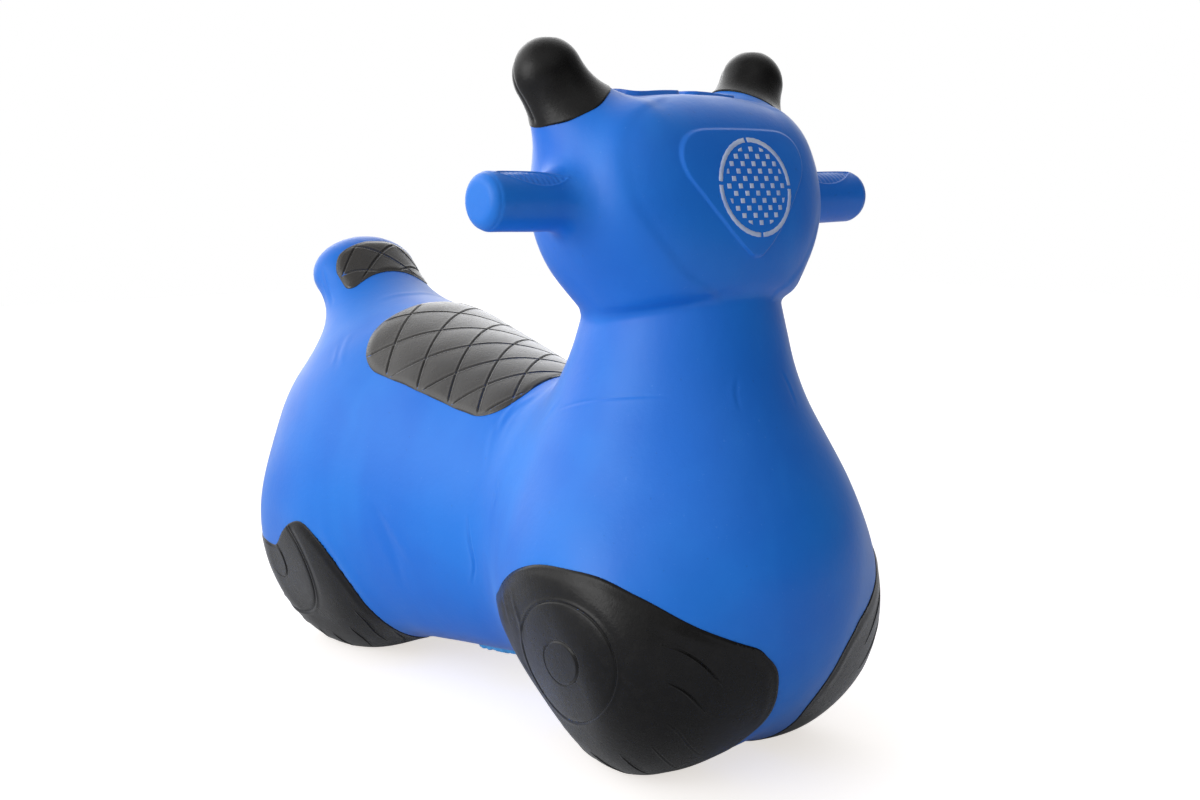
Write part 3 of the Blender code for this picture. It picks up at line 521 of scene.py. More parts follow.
skin = {
    "cell": 0.0050,  # of the lattice that the skin is first built on
    "plainCell": 0.0075,
    "hiddenCell": 0.012,
    "lampPlate": (  # height, half width
        (0.349, 0.0), (0.3503, 0.0042), (0.3545, 0.0105), (0.364, 0.021), (0.377, 0.033), (0.390, 0.044),
        (0.403, 0.054), (0.412, 0.058), (0.418, 0.0595), (0.480, 0.0595)),
    "lampPlateTop": 0.4345,
    "lampPlateArch": (0.0015, 0.05),  # drop of the top edge at a distance from the middle
    "lampPlateCorner": 0.030,
    "lampPlateHeight": 0.0016,
    "lampPlateEdge": 0.0026,
    "fairing": (
        (0.318, 0.020), (0.328, 0.038), (0.338, 0.055), (0.355, 0.072), (0.371, 0.084), (0.388, 0.092),
        (0.406, 0.094), (0.420, 0.092), (0.433, 0.086), (0.444, 0.073), (0.452, 0.055), (0.462, 0.020)),
    "fairingDepth": 0.0010,
    "fairingEdge": 0.0085,
    "faceFrontY": -0.180,
    "crown": (0.0019, 0.430, 0.454, 0.050, 0.064),  # drop, heights it comes in over, widths it ends over
    "headPad": ((0.0265, -0.146), (0.0235, 0.028), 0.008),  # middle, half size, corner
    "headPadHeight": 0.0030,
    "headPadEdge": 0.0012,
    "headPadLow": 0.44,
    "gripStart": 0.098,  # x past which a grip's own marks begin
    "gripReach": 1.3,  # how far from its axis they go, in its radii
    "lens": (0.1385, 61.0, 11.0, 0.0260, 27.0),  # middle x, bearing, twist, half length, half bearing
    "lensDepth": 0.0007,
    "lensEdge": 0.0009,
    "lensLip": (0.0003, 0.0006, 0.0008),  # height, place outside the lens, half width
    "ribPitch": 0.0042,
    "ribHeight": 0.00017,
    "cap": (0.1690, 0.00035, 0.0011),  # x of the groove round a grip's end, depth, half width
    "folds": (  # points, height, half width, height of the ridge beside it
        (((-0.093, -0.039, 0.156), (-0.094, -0.042, 0.138), (-0.092, -0.045, 0.119), (-0.089, -0.037, 0.102)),
         -0.0008, 0.0012, 0.0005),
        (((-0.112, 0.061, 0.155), (-0.110, 0.049, 0.144), (-0.108, 0.040, 0.133), (-0.105, 0.031, 0.120),
          (-0.102, 0.025, 0.108)), 0.0009, 0.0045, -0.0006),
        (((-0.112, 0.059, 0.150), (-0.110, 0.052, 0.131), (-0.105, 0.043, 0.108), (-0.096, 0.044, 0.082)),
         -0.0006, 0.0040, 0.0003),
        (((-0.125, 0.124, 0.129), (-0.121, 0.118, 0.113), (-0.117, 0.110, 0.100), (-0.109, 0.102, 0.081),
          (-0.099, 0.093, 0.064)), 0.0010, 0.0050, -0.0007),
        (((-0.085, -0.135, 0.245), (-0.086, -0.162, 0.253), (-0.084, -0.180, 0.257), (-0.073, -0.208, 0.261),
          (-0.062, -0.224, 0.262)), -0.0004, 0.0010, 0.0002),
        (((-0.020, -0.245, 0.274), (-0.025, -0.248, 0.263), (-0.026, -0.253, 0.251)),
         -0.0003, 0.0015, 0.0002),
        (((-0.045, -0.041, 0.237), (-0.057, -0.040, 0.228), (-0.068, -0.044, 0.216)),
         0.0004, 0.0020, -0.0002),
        (((-0.050, -0.050, 0.238), (-0.062, -0.050, 0.227), (-0.074, -0.054, 0.212)),
         0.0003, 0.0022, -0.0002),
        (((-0.062, -0.036, 0.220), (-0.072, -0.042, 0.206), (-0.082, -0.050, 0.188)),
         0.0004, 0.0024, -0.0002),
        (((-0.047, 0.242, 0.324), (-0.049, 0.237, 0.314), (-0.049, 0.230, 0.304), (-0.052, 0.218, 0.294)),
         -0.0010, 0.0016, 0.0005),
        (((-0.080, 0.164, 0.265), (-0.087, 0.156, 0.257), (-0.093, 0.150, 0.250)), 0.0004, 0.0022, -0.0002),
        (((-0.069, 0.159, 0.274), (-0.077, 0.155, 0.267), (-0.086, 0.147, 0.258), (-0.092, 0.138, 0.250)),
         0.0005, 0.0026, -0.0003),
        (((-0.034, 0.176, 0.297), (-0.019, 0.175, 0.301), (-0.002, 0.172, 0.302), (0.020, 0.168, 0.300)),
         0.0004, 0.0026, -0.0002),
        (((-0.065, -0.039, 0.220), (-0.049, -0.045, 0.234), (-0.034, -0.051, 0.243), (-0.016, -0.043, 0.250)),
         0.0004, 0.0030, -0.0003),
        (((-0.083, -0.114, 0.232), (-0.081, -0.125, 0.245), (-0.081, -0.136, 0.253)),
         0.0003, 0.0022, -0.0002),
        (((-0.085, -0.068, 0.193), (-0.092, -0.074, 0.180), (-0.095, -0.072, 0.166)),
         0.0004, 0.0026, -0.0002),
    ),
    "foldTaper": 0.7,
    "foldBeside": (2.2, 1.5),  # place and half width of what runs beside a fold, in the fold's half widths
    "waves": ((0.095, 3, 0.00028), (0.040, 5, 0.00007)),  # wavelength, seed, height
    "waveFade": 0.030,  # distance from the CAD model's box over which the waves come in
}

# Each painted coat is a fan of rays from a point inside the form, about an axis and out to its widest angle
# in degrees. Spokes, rings and under count its points. Its lip and thickness lie below the skin, in metres.

quilting = {  # what the saddle and the tail pad share, in metres
    "cell": 0.0032,
    "fade": (0.0012, 0.0055),  # distances inside the outline over which the quilting comes in
    "lip": (0.16, 2.1),  # height beside a groove in its depths, and place in its widths
    "rise": (0.0005, 0.004),  # height of the pad, and how far inside the outline it is reached
    "worn": (0.85, 1.2),  # wear along a groove, and its width in the groove's
    "wornEdge": (0.004, 0.016),  # distances inside the outline over which the wear ends
    "wornSide": (-0.01, 0.03),  # distances to the rider's right over which it comes in
}

seat = {
    "from": (0.0, 0.048, 0.130),
    "axis": (0.0, 0.0, 1.0),
    "widest": 70.0,
    "spokes": 240,
    "rings": 44,
    "under": 8,
    "underCell": 0.008,
    "paired": False,
    "lip": -0.0010,
    "thickness": -0.0026,
    "y": (-0.041, 0.1365),
    "halfWidth": 0.071,
    "flare": 0.13,
    "corners": ((-0.041, 0.028), (0.1365, 0.040)),  # y, radius
    "wobble": (0.0002, 0.03, 13),  # height, wavelength, seed
    "above": 0.18,
    "lineStart": -0.0066,
    "linePitch": 0.0316,
    "lineGrowth": 0.00144,  # the rows widen towards the back
    "lineSlant": 0.60,
    "roundRadius": 0.104,  # of the barrel that the slanted lines run round
    "grooveDepth": 0.0011,
    "grooveWidth": 0.00065,
    "pillow": 0.0006,
}

tailPad = {
    "from": (0.0, 0.226, 0.300),
    "axis": (0.0, -0.15, 1.0),
    "widest": 100.0,
    "spokes": 200,
    "rings": 26,
    "under": 6,
    "underCell": 0.008,
    "paired": False,
    "lip": -0.0010,
    "thickness": -0.0026,
    "y": (0.2065, 0.2345),
    "halfWidth": 0.042,
    "flare": 0.0,
    "corners": ((0.2065, 0.008), (0.2345, 0.008)),
    "wobble": (0.0002, 0.025, 14),
    "above": 0.29,
    "lineStart": 0.222,
    "linePitch": 0.020,
    "lineGrowth": 0.0,
    "lineSlant": 0.51,
    "roundRadius": 0.0,
    "grooveDepth": 0.0010,
    "grooveWidth": 0.0006,
    "pillow": 0.0004,
}

mirrorCoat = {
    "from": (-0.0880, -0.1465, 0.4480),
    "axis": (-0.42, 0.30, 0.86),
    "widest": 150.0,
    "spokes": 160,
    "rings": 40,
    "under": 8,
    "underCell": 0.008,
    "paired": True,
    "lip": -0.0010,
    "thickness": -0.0026,
    "level": 0.4985,  # height that its outline would have in the middle, and how far it falls to the side
    "slope": 0.60,
    "wobble": (0.0003, 0.028, 15),
    "above": 0.42,
    "rimY": (-0.1535, 0.4282, 0.31, 0.0075),  # y at a height, its slope, how far behind the middle the rim is
    "rimDepth": 0.0010,
    "rimWidth": 0.0020,
    "fade": (0.001, 0.006),  # distances inside the outline over which the rim comes in
    "cell": 0.0020,
    "backStep": (0.0005, 0.004),  # how much lower the back is, and the width of that step
}

wheelMarks = {  # what the four wheel coats share, in metres
    "cell": 0.0030,
    "wobble": (0.0003, 0.055, 11),
    "innerSide": (-0.065, 0.045),  # along the hub's axis, and the distance that stands for far away there
    "plateEdge": 0.004,
    "boss": (0.0006, 0.0010, 0.0005),  # height, width of its edge, half width of the groove round it
    "ridge": (2.6, 1.5),  # place and half width of the ridge outside the ring, in the groove's half widths
    "upper": (0.030, 0.075),  # heights over which the roll along the upper edge comes in
    "besideRing": (0.002, 0.010),  # distances from the ring over which it comes in
    "rollStart": (0.0020, 0.0080),
    "rollRidge": (0.0090, 0.0028),  # distance inside the outline, half width
    "rollValley": (0.0160, 0.0050),
    "treadEnd": 0.03,  # how blunt a cut's ends are, as a share of its length
    "treadTaper": 0.6,
    "treadCut": (0.0010, 0.3, 0.00045),  # depth, its share at the outer end, half width
    "treadLip": (0.0010, 0.7, 0.0011, 0.0006),  # height, what it loses along the cut, place, half width
    "treadBack": (0.0002, 0.0013, 0.0010),  # height, place and half width of the ridge on the other side
    "worn": (0.66, 0.0009, 0.60, 0.0006),  # wear on the ring and on the boss, with half widths
    "wearPatches": (0.045, 21, -0.8, 0.6),  # wavelength, seed, levels between which it shows
}

frontCoat = {
    "from": (-0.0666, -0.1765, 0.0861),
    "axis": (-0.85, -0.35, -0.40),
    "widest": 150.0,
    "spokes": 300,
    "rings": 60,
    "under": 12,
    "underCell": 0.008,
    "paired": True,
    "lip": -0.0011,
    "thickness": -0.0040,
    "axisY": -0.1745,
    "toward": -1,
    "top": (  # bearing, height
        (5, 0.093), (19, 0.104), (37, 0.120), (56, 0.142), (67, 0.152), (77, 0.154), (90, 0.152),
        (101, 0.144), (114, 0.129), (122, 0.117), (132, 0.103), (141, 0.070), (150, 0.020), (165, -0.060)),
    "inner": (  # height, distance from the middle
        (0.0, 0.029), (0.032, 0.0245), (0.045, 0.0210), (0.064, 0.0230), (0.074, 0.0262), (0.088, 0.032),
        (0.101, 0.041)),
    "corner": 0.012,
    "hub": ((0.126, -0.1895, 0.088), 28.3, 18.0),  # centre, degrees forward, degrees up
    "ring": (0.047, 0.0385),
    "boss": (0.0177, 0.0137),
    "wheel": "frontWheel",
    "slashes": (  # strength, then along the axle in mm, degrees from the top to the front, radius in mm
        (1.0, (2, 73, 99), (-7, 77, 101), (-15, 82, 102), (-22, 88, 101), (-29, 96, 101)),
        (1.0, (5, 87, 95), (-2, 91, 96), (-7, 95, 97), (-12, 101, 98), (-17, 107, 97)),
        (0.45, (9, 105, 92), (2, 112, 93), (-5, 122, 94), (-14, 132, 94)),
        (0.5, (18, 119, 87), (9, 131, 91), (-2, 144, 92)),
        (0.8, (33, 133, 75), (26, 140, 82), (14, 150, 88)),
        (1.0, (41, 165, 63), (38, 160, 68), (30, 158, 80), (18, 163, 86)),
        (0.8, (40, 186, 64), (33, 182, 76), (22, 182, 84)),
        (0.8, (40, 208, 64), (33, 203, 76), (20, 200, 85)),
        (0.8, (39, 230, 66), (31, 224, 78), (18, 220, 86)),
    ),
    "pleats": (
        (((-0.126, -0.138, 0.126), (-0.124, -0.137, 0.119), (-0.122, -0.138, 0.110), (-0.119, -0.137, 0.099),
          (-0.113, -0.132, 0.083)), 0.0007, 0.0028, -0.0004),
        (((-0.117, -0.120, 0.120), (-0.115, -0.120, 0.108), (-0.111, -0.119, 0.094)),
         0.0005, 0.0030, -0.0003),
    ),
    "ringDepth": 0.0007,
    "ringWidth": 0.0006,
    "ringRidge": 0.0003,
    "plateRise": 0.0002,
    "roll": (0.0007, 0.00015, 0.0001),  # rise inside the upper edge, the ridge on it, the valley after it
}

rearCoat = {
    "from": (-0.0594, 0.1878, 0.0818),
    "axis": (-0.85, 0.30, -0.40),
    "widest": 150.0,
    "spokes": 300,
    "rings": 54,
    "under": 12,
    "underCell": 0.008,
    "paired": True,
    "lip": -0.0011,
    "thickness": -0.0040,
    "axisY": 0.1655,
    "toward": 1,
    "top": (
        (5, 0.085), (25, 0.093), (60, 0.092), (70, 0.092), (81, 0.109), (89, 0.119), (98, 0.123),
        (107, 0.109), (117, 0.082), (124, 0.058), (136, 0.032), (153, 0.013), (170, -0.020)),
    "inner": ((0.0, 0.026), (0.050, 0.022), (0.100, 0.036)),
    "corner": 0.012,
    "hub": ((0.115, 0.2165, 0.079), 0.0, 0.0),
    "ring": (0.060, 0.050),
    "boss": (0.0175, 0.0175),
    "wheel": "rearWheel",
    "slashes": (
        (1.0, (57, 108, 69), (52, 114, 76), (45, 124, 83), (34, 133, 91)),
        (1.0, (51, 133, 63), (43, 140, 76), (28, 154, 87)),
        (1.0, (45, 169, 60), (37, 167, 74), (25, 170, 83)),
        (0.8, (41, 116, 98), (29, 126, 103), (20, 134, 100)),
        (0.8, (44, 190, 62), (36, 188, 75), (22, 190, 84)),
        (0.8, (43, 212, 64), (35, 209, 77), (20, 209, 86)),
        (0.8, (42, 236, 66), (34, 232, 79), (18, 230, 88)),
        (0.8, (30, 256, 84), (18, 252, 92), (4, 250, 96)),
    ),
    "pleats": (),
    "ringDepth": 0.0010,
    "ringWidth": 0.0009,
    "ringRidge": 0.0007,
    "plateRise": 0.0003,
    "roll": (0.0009, 0.0001, 0.0),
}

bellyDisc = {
    "from": (0.0, 0.010, 0.090),
    "axis": (0.0, 0.0, -1.0),
    "widest": 60.0,
    "spokes": 200,
    "rings": 22,
    "under": 6,
    "cell": 0.0010,
    "underCell": 0.006,
    "paired": False,
    "lip": -0.0010,
    "thickness": -0.0024,
    "y": 0.010,
    "radius": 0.040,
    "below": 0.06,
    "ragged": ((0.0009, 0.012, 16), (0.00054, 0.005, 17)),  # height, wavelength, seed
    "bead": (0.0026, 0.0026, 0.0020),  # height, distance inside the outline, half width
    "beadTone": (0.0010, 0.0035),  # distance inside the outline, half width
    "beadRough": (0.15, 0.008, 31),  # share of its height, wavelength, seed
    "middle": (0.0006, 0.002, 0.006),  # height of the disc inside its bead, and where it comes in
}


def wobble(p, wave):
    # small unevenness of a painted outline
    size, length, seed = wave
    return size * ripple(p, length, seed)


def wheelCoatZone(coat):
    # below a curve of height over bearing round the toy, and outside a curve of distance over height
    def zone(p):
        bearing = np.degrees(np.arctan2(np.abs(p[:, 0]), coat["toward"] * (p[:, 1] - coat["axisY"])))
        uneven = wobble(p, wheelMarks["wobble"])
        above = p[:, 2] - smoothCurve(bearing, coat["top"]) + uneven
        inside = smoothCurve(p[:, 2], coat["inner"]) - np.abs(p[:, 0]) + uneven
        return np.maximum(smoothMax(above, inside, coat["corner"]), -coat["toward"] * p[:, 1])
    return zone


def padZone(pad):
    # a plate seen from above, with round corners, that may widen towards the back
    def zone(p):
        low, high = pad["y"]
        across = np.abs(p[:, 0]) - pad["halfWidth"] - pad["flare"] * p[:, 1]
        along = np.abs(p[:, 1] - (low + high) / 2) - (high - low) / 2
        plate = roundedPlate(across, along, smoothCurve(p[:, 1], pad["corners"])) + wobble(p, pad["wobble"])
        return np.maximum(plate, pad["above"] - p[:, 2])
    return zone


def mirrorZone(p):
    # above a plane that falls away to the side
    slope = mirrorCoat["slope"]
    below = mirrorCoat["level"] - p[:, 2] - slope * np.abs(p[:, 0]) + wobble(p, mirrorCoat["wobble"])
    return np.maximum(below / math.hypot(1.0, slope), mirrorCoat["above"] - p[:, 2])


def discZone(p):
    # a circle with a ragged edge on the belly
    reach = np.hypot(p[:, 0], p[:, 1] - bellyDisc["y"]) - bellyDisc["radius"]
    reach += sum(wobble(p, wave) for wave in bellyDisc["ragged"])
    return np.maximum(reach, p[:, 2] - bellyDisc["below"])


frontCoat["zone"] = wheelCoatZone(frontCoat)
rearCoat["zone"] = wheelCoatZone(rearCoat)
seat["zone"] = padZone(seat)
tailPad["zone"] = padZone(tailPad)
mirrorCoat["zone"] = mirrorZone
bellyDisc["zone"] = discZone


def hubReach(p, hub, radii):
    # distance outside an oval round a hub's axis, far outside on the wheel's inner side
    centre, forward, up = hub
    turn, rise = math.radians(forward), math.radians(up)
    d = p - np.array(centre)
    d[:, 0] = np.abs(p[:, 0]) - centre[0]
    along = d @ (math.cos(rise) * math.cos(turn), -math.cos(rise) * math.sin(turn), math.sin(rise))
    ahead = d @ (math.sin(turn), math.cos(turn), 0.0)
    above = d @ (-math.sin(rise) * math.cos(turn), math.sin(rise) * math.sin(turn), math.cos(rise))
    reach = (np.hypot(ahead / radii[0], above / radii[1]) - 1.0) * min(radii)
    innerSide, far = wheelMarks["innerSide"]
    return np.where(along < innerSide, far, reach)


def treadLine(coat, slash):
    # a slash's points from the wheel's own place, angle and radius, put on the skin
    centre, _, camber, toe = form[coat["wheel"]]
    along, angle, radius = np.array(traced(slash)).T * np.array([[0.001], [math.pi / 180], [0.001]])
    ahead, above = -radius * np.sin(angle), radius * np.cos(angle)
    x = math.cos(camber) * along - math.sin(camber) * above
    z = math.sin(camber) * along + math.cos(camber) * above
    turnedX = math.cos(toe) * x - math.sin(toe) * ahead
    p = np.stack([turnedX, math.sin(toe) * x + math.cos(toe) * ahead, z], -1)
    p += np.array(centre)
    p[:, 0] *= -1
    return ontoSkin(p, 6)


for coat in (frontCoat, rearCoat):
    coat["treads"] = [(strength, treadLine(coat, slash)) for strength, *slash in coat["slashes"]]
    coat["pleatLines"] = [(ontoSkin(traced(points), 6), *rest) for points, *rest in coat["pleats"]]
skin["foldLines"] = [(ontoSkin(traced(points), 6), *rest) for points, *rest in skin["folds"]]


def quiltLines(pad, p):
    # distance from the nearest stitched line of each slant, and the diamonds' own height, 1 in their middles
    radius, pitch, growth = pad["roundRadius"], pad["linePitch"], pad["lineGrowth"]
    u = radius * np.arcsin(np.clip(p[:, 0] / radius, -1.0, 1.0)) if radius else p[:, 0]
    distances, pillow = [], 1.0
    for slant in (-pad["lineSlant"], pad["lineSlant"]):
        s = p[:, 1] + slant * u - pad["lineStart"]
        row = s / pitch
        if growth:
            row = (np.sqrt(np.maximum(pitch ** 2 + 4 * growth * s, 0.0)) - pitch) / (2 * growth)
        nearest = np.round(row)
        at = nearest * pitch + growth * nearest ** 2
        distances.append(np.abs(s - at) / math.hypot(1.0, slant))
        pillow = pillow * (1.0 - (2.0 * np.abs(row - np.floor(row) - 0.5)) ** 2)
    return distances, pillow


def frontOutline(p, widths):
    # on the front of the head, inside a curve of half width over height
    width = smoothCurve(p[:, 2], widths)
    beyond = np.maximum(widths[0][0] - p[:, 2], p[:, 2] - widths[-1][0])
    return np.maximum(np.maximum(np.abs(p[:, 0]) - width, beyond), p[:, 1] - skin["faceFrontY"])


def lampPlateZone(p):
    # the outline below an arched top edge, with soft corners between them
    drop, at = skin["lampPlateArch"]
    top = skin["lampPlateTop"] - drop * (p[:, 0] / at) ** 2
    return smoothMax(frontOutline(p, skin["lampPlate"]), p[:, 2] - top, skin["lampPlateCorner"])


def fairingZone(p):
    # the whole face inside the fairing's outline
    return frontOutline(p, skin["fairing"])


def headPadZone(p):
    # two plates with round corners, side by side on top of the head
    (x, y), (halfX, halfY), corner = skin["headPad"]
    flat = roundedPlate(np.abs(np.abs(p[:, 0]) - x) - halfX, np.abs(p[:, 1] - y) - halfY, corner)
    return np.maximum(flat, skin["headPadLow"] - p[:, 2])


def gripPlace(p):
    # bearing round a grip in degrees, from straight ahead over the top, and whether the point is on the grip
    _, end, y, z, radius = form["handle"]
    reach = np.abs(p[:, 0]) - end
    ahead = y + form["handleSweep"] * reach - p[:, 1]
    above = p[:, 2] - z - form["handleLift"] * reach
    near = (np.abs(p[:, 0]) > skin["gripStart"]) & (np.hypot(ahead, above) < radius * skin["gripReach"])
    return np.degrees(np.arctan2(above, ahead)), near


def lensZone(p):
    # negative inside the lens on each grip: its half bearing narrows with the square of the length
    x, bearing, twist, halfLength, halfBearing = skin["lens"]
    angle, near = gripPlace(p)
    share = (np.abs(p[:, 0]) - x) / halfLength
    metres = math.radians(1.0) * form["handle"][4]
    middle = bearing + twist * share
    inside = (np.abs(angle - middle) - halfBearing * (1.0 - np.clip(share, -1, 1) ** 2)) * metres
    inside = np.maximum(inside, (np.abs(share) - 1.0) * halfLength)
    far = 0.05
    return np.where(near, inside, far)


def waves(p):
    # slow unevenness of the wall, the same on both sides and none where the form touches the CAD model's box
    room = np.minimum(p - np.array(cadBox[0]), np.array(cadBox[1]) - p).min(1)
    total = sum(size * ripple(mirrored(p), length, seed) for length, seed, size in skin["waves"])
    return smoothStep(room, 0.0, skin["waveFade"]) * total


def ramp(zone, edge):
    # 0 outside a zone and 1 inside it, smooth over the width of its edge
    return smoothStep(-zone, 0.0, edge)


def foldHeight(p, normals, lines):
    # each fold is a soft line that fades at both ends, with a lower ridge or valley beside it
    height = np.zeros(len(p))
    place, spread = skin["foldBeside"]
    for line, rise, width, beside in lines:
        side, along = besideLine(p, normals, line)
        fade = np.sin(math.pi * np.clip(along, 0.0, 1.0)) ** skin["foldTaper"]
        height += fade * (rise * bell(side, width) + beside * bell(side - place * width, spread * width))
    return height


def turnedRight(p, normals):
    # points and outward directions as their mirror images on the rider's right side
    q, n = mirrored(p), normals.copy()
    n[:, 0] = np.where(p[:, 0] > 0, -n[:, 0], n[:, 0])
    return q, n


def skinRelief(p, normals):
    # the sum of every raised and sunk detail of the skin, as a height along the outward direction
    q, n = turnedRight(p, normals)
    height = waves(q)
    height += skin["lampPlateHeight"] * ramp(lampPlateZone(q), skin["lampPlateEdge"])
    height -= skin["fairingDepth"] * ramp(fairingZone(q), skin["fairingEdge"])
    drop, low, high, near, far = skin["crown"]
    height -= drop * smoothStep(q[:, 2], low, high) * (1.0 - smoothStep(-q[:, 0], near, far))
    height += skin["headPadHeight"] * ramp(headPadZone(q), skin["headPadEdge"])
    lens = lensZone(q)
    ribs = skin["ribHeight"] * np.sin(2 * math.pi * q[:, 0] / skin["ribPitch"])
    rise, place, width = skin["lensLip"]
    height += (ribs - skin["lensDepth"]) * ramp(lens, skin["lensEdge"]) + rise * bell(lens - place, width)
    capX, depth, width = skin["cap"]
    height -= depth * bell(np.abs(p[:, 0]) - capX, width)
    return height + foldHeight(q, n, skin["foldLines"])


coats = (frontCoat, rearCoat, mirrorCoat, seat, tailPad, bellyDisc)
sunk = {
    "share": 1.45,  # depth of the skin under a coat, in the coat's thicknesses
    "edge": (0.0012, 0.0060),  # distances inside the coat's outline over which it comes
}


def zoneOf(coat, p):
    # a coat's own outline, with the points turned to the rider's right side if it has a twin there
    return coat["zone"](mirrored(p) if coat["paired"] else p)


def sunkUnder(p):
    # how deep the skin lies under a coat: nothing at the coat's outline, then well below the coat's underside
    depth = np.zeros(len(p))
    for coat in coats:
        share = smoothStep(-zoneOf(coat, p), *sunk["edge"])
        depth = np.maximum(depth, -sunk["share"] * coat["thickness"] * share)
    return depth


def skinSize(points):
    # edge length wanted on the skin: fine beside each sharp line, coarse where it is plain
    p = mirrored(points)
    lens, lensCell = lensZone(p), 0.0012
    chin = form["chinLevel"] + form["chinSlope"] * (p[:, 1] - form["chinY"])
    sharp = [  # distance from a line, how far it stays fine, the finest length and its growth
        (np.abs(lampPlateZone(p) + 0.0013), 0.0020, 0.0010, 0.6),
        (np.abs(headPadZone(p) + 0.0005), 0.0020, 0.0010, 0.6),
        (np.abs(lens), 0.0020, lensCell, 0.6),
        (np.abs(fairingZone(p) + 0.004), 0.005, 0.0030, 0.5),
        (np.abs(np.abs(p[:, 0]) - skin["cap"][0]), 0.002, 0.0014, 0.5),
        (np.where(p[:, 1] < -0.08, np.abs(p[:, 2] - chin), 1.0), 0.005, 0.0025, 0.5),
    ]
    for line, _, width, _ in skin["foldLines"]:
        sharp.append((distanceTo(p, line), 2.5 * width, 1.2 * width, 0.6))
    size = np.where(lens < 0, lensCell, skin["plainCell"])
    for row in sharp:
        size = finer(size, *row)
    return size


# Finishes: shader sockets that add and multiply into new nodes

class Signal:
    def __init__(self, tree, socket=None):
        self.tree = tree
        self.socket = socket

    def node(self, kind, settings=None, values=None, output=0):
        # a new node, with its own settings and with values or other signals on its sockets
        made = self.tree.nodes.new(kind)
        settings = dict(settings or {})
        stops = settings.pop("stops", None)
        for key, value in settings.items():
            setattr(made, key, value)
        if stops:
            ramp = made.color_ramp
            while len(ramp.elements) < len(stops):
                ramp.elements.new(0.5)
            for element, (place, level) in zip(ramp.elements, stops):
                element.position = place
                element.color = (level, level, level, 1.0)
        for key, value in (values or {}).items():
            socket = next(s for s in made.inputs if key in (s.identifier, s.name))
            if isinstance(value, Signal):
                self.tree.links.new(value.socket, socket)
            else:
                socket.default_value = value
        return Signal(self.tree, made.outputs[output])

    def maths(self, operation, a, b=0.0):
        return self.node("ShaderNodeMath", {"operation": operation}, {"Value": a, "Value_001": b})

    def __add__(self, other):
        return self.maths("ADD", self, other)

    def __sub__(self, other):
        return self.maths("SUBTRACT", self, other)

    def __mul__(self, other):
        return self.maths("MULTIPLY", self, other)

    def __rsub__(self, other):
        return self.maths("SUBTRACT", other, self)

    __radd__ = __add__
    __rmul__ = __mul__

    def between(self, low, high):
        # 0 at low, 1 at high, smooth between
        return self.node("ShaderNodeMapRange", {"interpolation_type": "SMOOTHSTEP"},
                         {"Value": self, "From Min": low, "From Max": high})

    def mixed(self, a, b):
        # colour a where this signal is 0, colour b where it is 1
        return self.node("ShaderNodeMix", {"data_type": "RGBA"},
                         {"Factor_Float": self, "A_Color": a, "B_Color": b}, output=2)

    def noise(self, scale, detail=3.0, stretch=(1.0, 1.0, 1.0), rough=0.5, shift=(0.0, 0.0, 0.0)):
        # noise over the object's own coordinates, stretched and shifted
        place = self.node("ShaderNodeTexCoord", output=3)
        place = self.node("ShaderNodeMapping", None, {"Vector": place, "Scale": stretch, "Location": shift})
        return self.node("ShaderNodeTexNoise", None,
                         {"Vector": place, "Scale": scale, "Detail": detail, "Roughness": rough})


def newFinish(name, roughness, specular=0.5, sheen=0.0):
    # a new material, its shader and a signal to build its nodes with
    finish = bpy.data.materials.new(name)
    finish.use_nodes = True
    shader = finish.node_tree.nodes["Principled BSDF"]
    shader.inputs["Roughness"].default_value = roughness
    shader.inputs["Sheen Weight"].default_value = sheen
    shader.inputs["Sheen Roughness"].default_value = 0.32
    shader.inputs["Specular IOR Level"].default_value = specular
    return finish, shader, Signal(finish.node_tree)


def feed(shader, signal, name):
    shader.id_data.links.new(signal.socket, shader.inputs[name])


def rgb(red, green, blue):
    return (red, green, blue, 1.0)


vinyl = {
    "deep": rgb(0.0066, 0.166, 0.720),
    "bright": rgb(0.0092, 0.202, 0.780),
    "streaks": (0.30, rgb(0.024, 0.275, 0.87)),  # strength, colour
    "paleSpots": (0.16, rgb(0.16, 0.42, 0.90)),
    "darkSpots": (0.20, rgb(0.008, 0.07, 0.33)),
    "bump": {"Strength": 0.30, "Distance": 0.0006},
}


def blueFinish():
    # the skin: cloudy blue with paler streaks, few spots and a fine peel
    finish, shader, s = newFinish("blue vinyl", 0.36, 0.38, 0.18)
    cloud = s.noise(9.0, 4.0).between(0.35, 0.68)
    streak = s.noise(14.0, 3.0, (1.0, 1.0, 0.25), 0.6, (3.1, 0.2, 0.7)).between(0.46, 0.75)
    pale = s.noise(420.0, 2.0, shift=(1.7, 0.0, 0.0)).between(0.70, 0.78)
    dark = s.noise(240.0, 1.0, shift=(0.0, 5.3, 0.0)).between(0.765, 0.80)
    colour = cloud.mixed(vinyl["deep"], vinyl["bright"])
    for signal, kind in ((streak, "streaks"), (pale, "paleSpots"), (dark, "darkSpots")):
        strength, over = vinyl[kind]
        colour = (signal * strength).mixed(colour, over)
    feed(shader, colour, "Base Color")
    feed(shader, 0.33 + s.noise(30.0, 3.0, shift=(0.0, 0.0, 4.0)) * 0.12, "Roughness")
    peel = s.noise(260.0, 2.0) * 0.6 + s.noise(900.0, 2.0) * 0.25
    feed(shader, s.node("ShaderNodeBump", None, {**vinyl["bump"], "Height": peel}), "Normal")
    return finish


paint = {
    "cloudShade": 0.6,  # the darker clouds' share of the paint's own shade
    "dust": (0.30, rgb(0.014, 0.013, 0.012)),
    "bare": rgb(0.020, 0.150, 0.560),
    "bareFrom": (1.24, 1.30),  # tone and spots together, over which the blue comes through
    "bump": {"Strength": 0.28, "Distance": 0.0005},
}


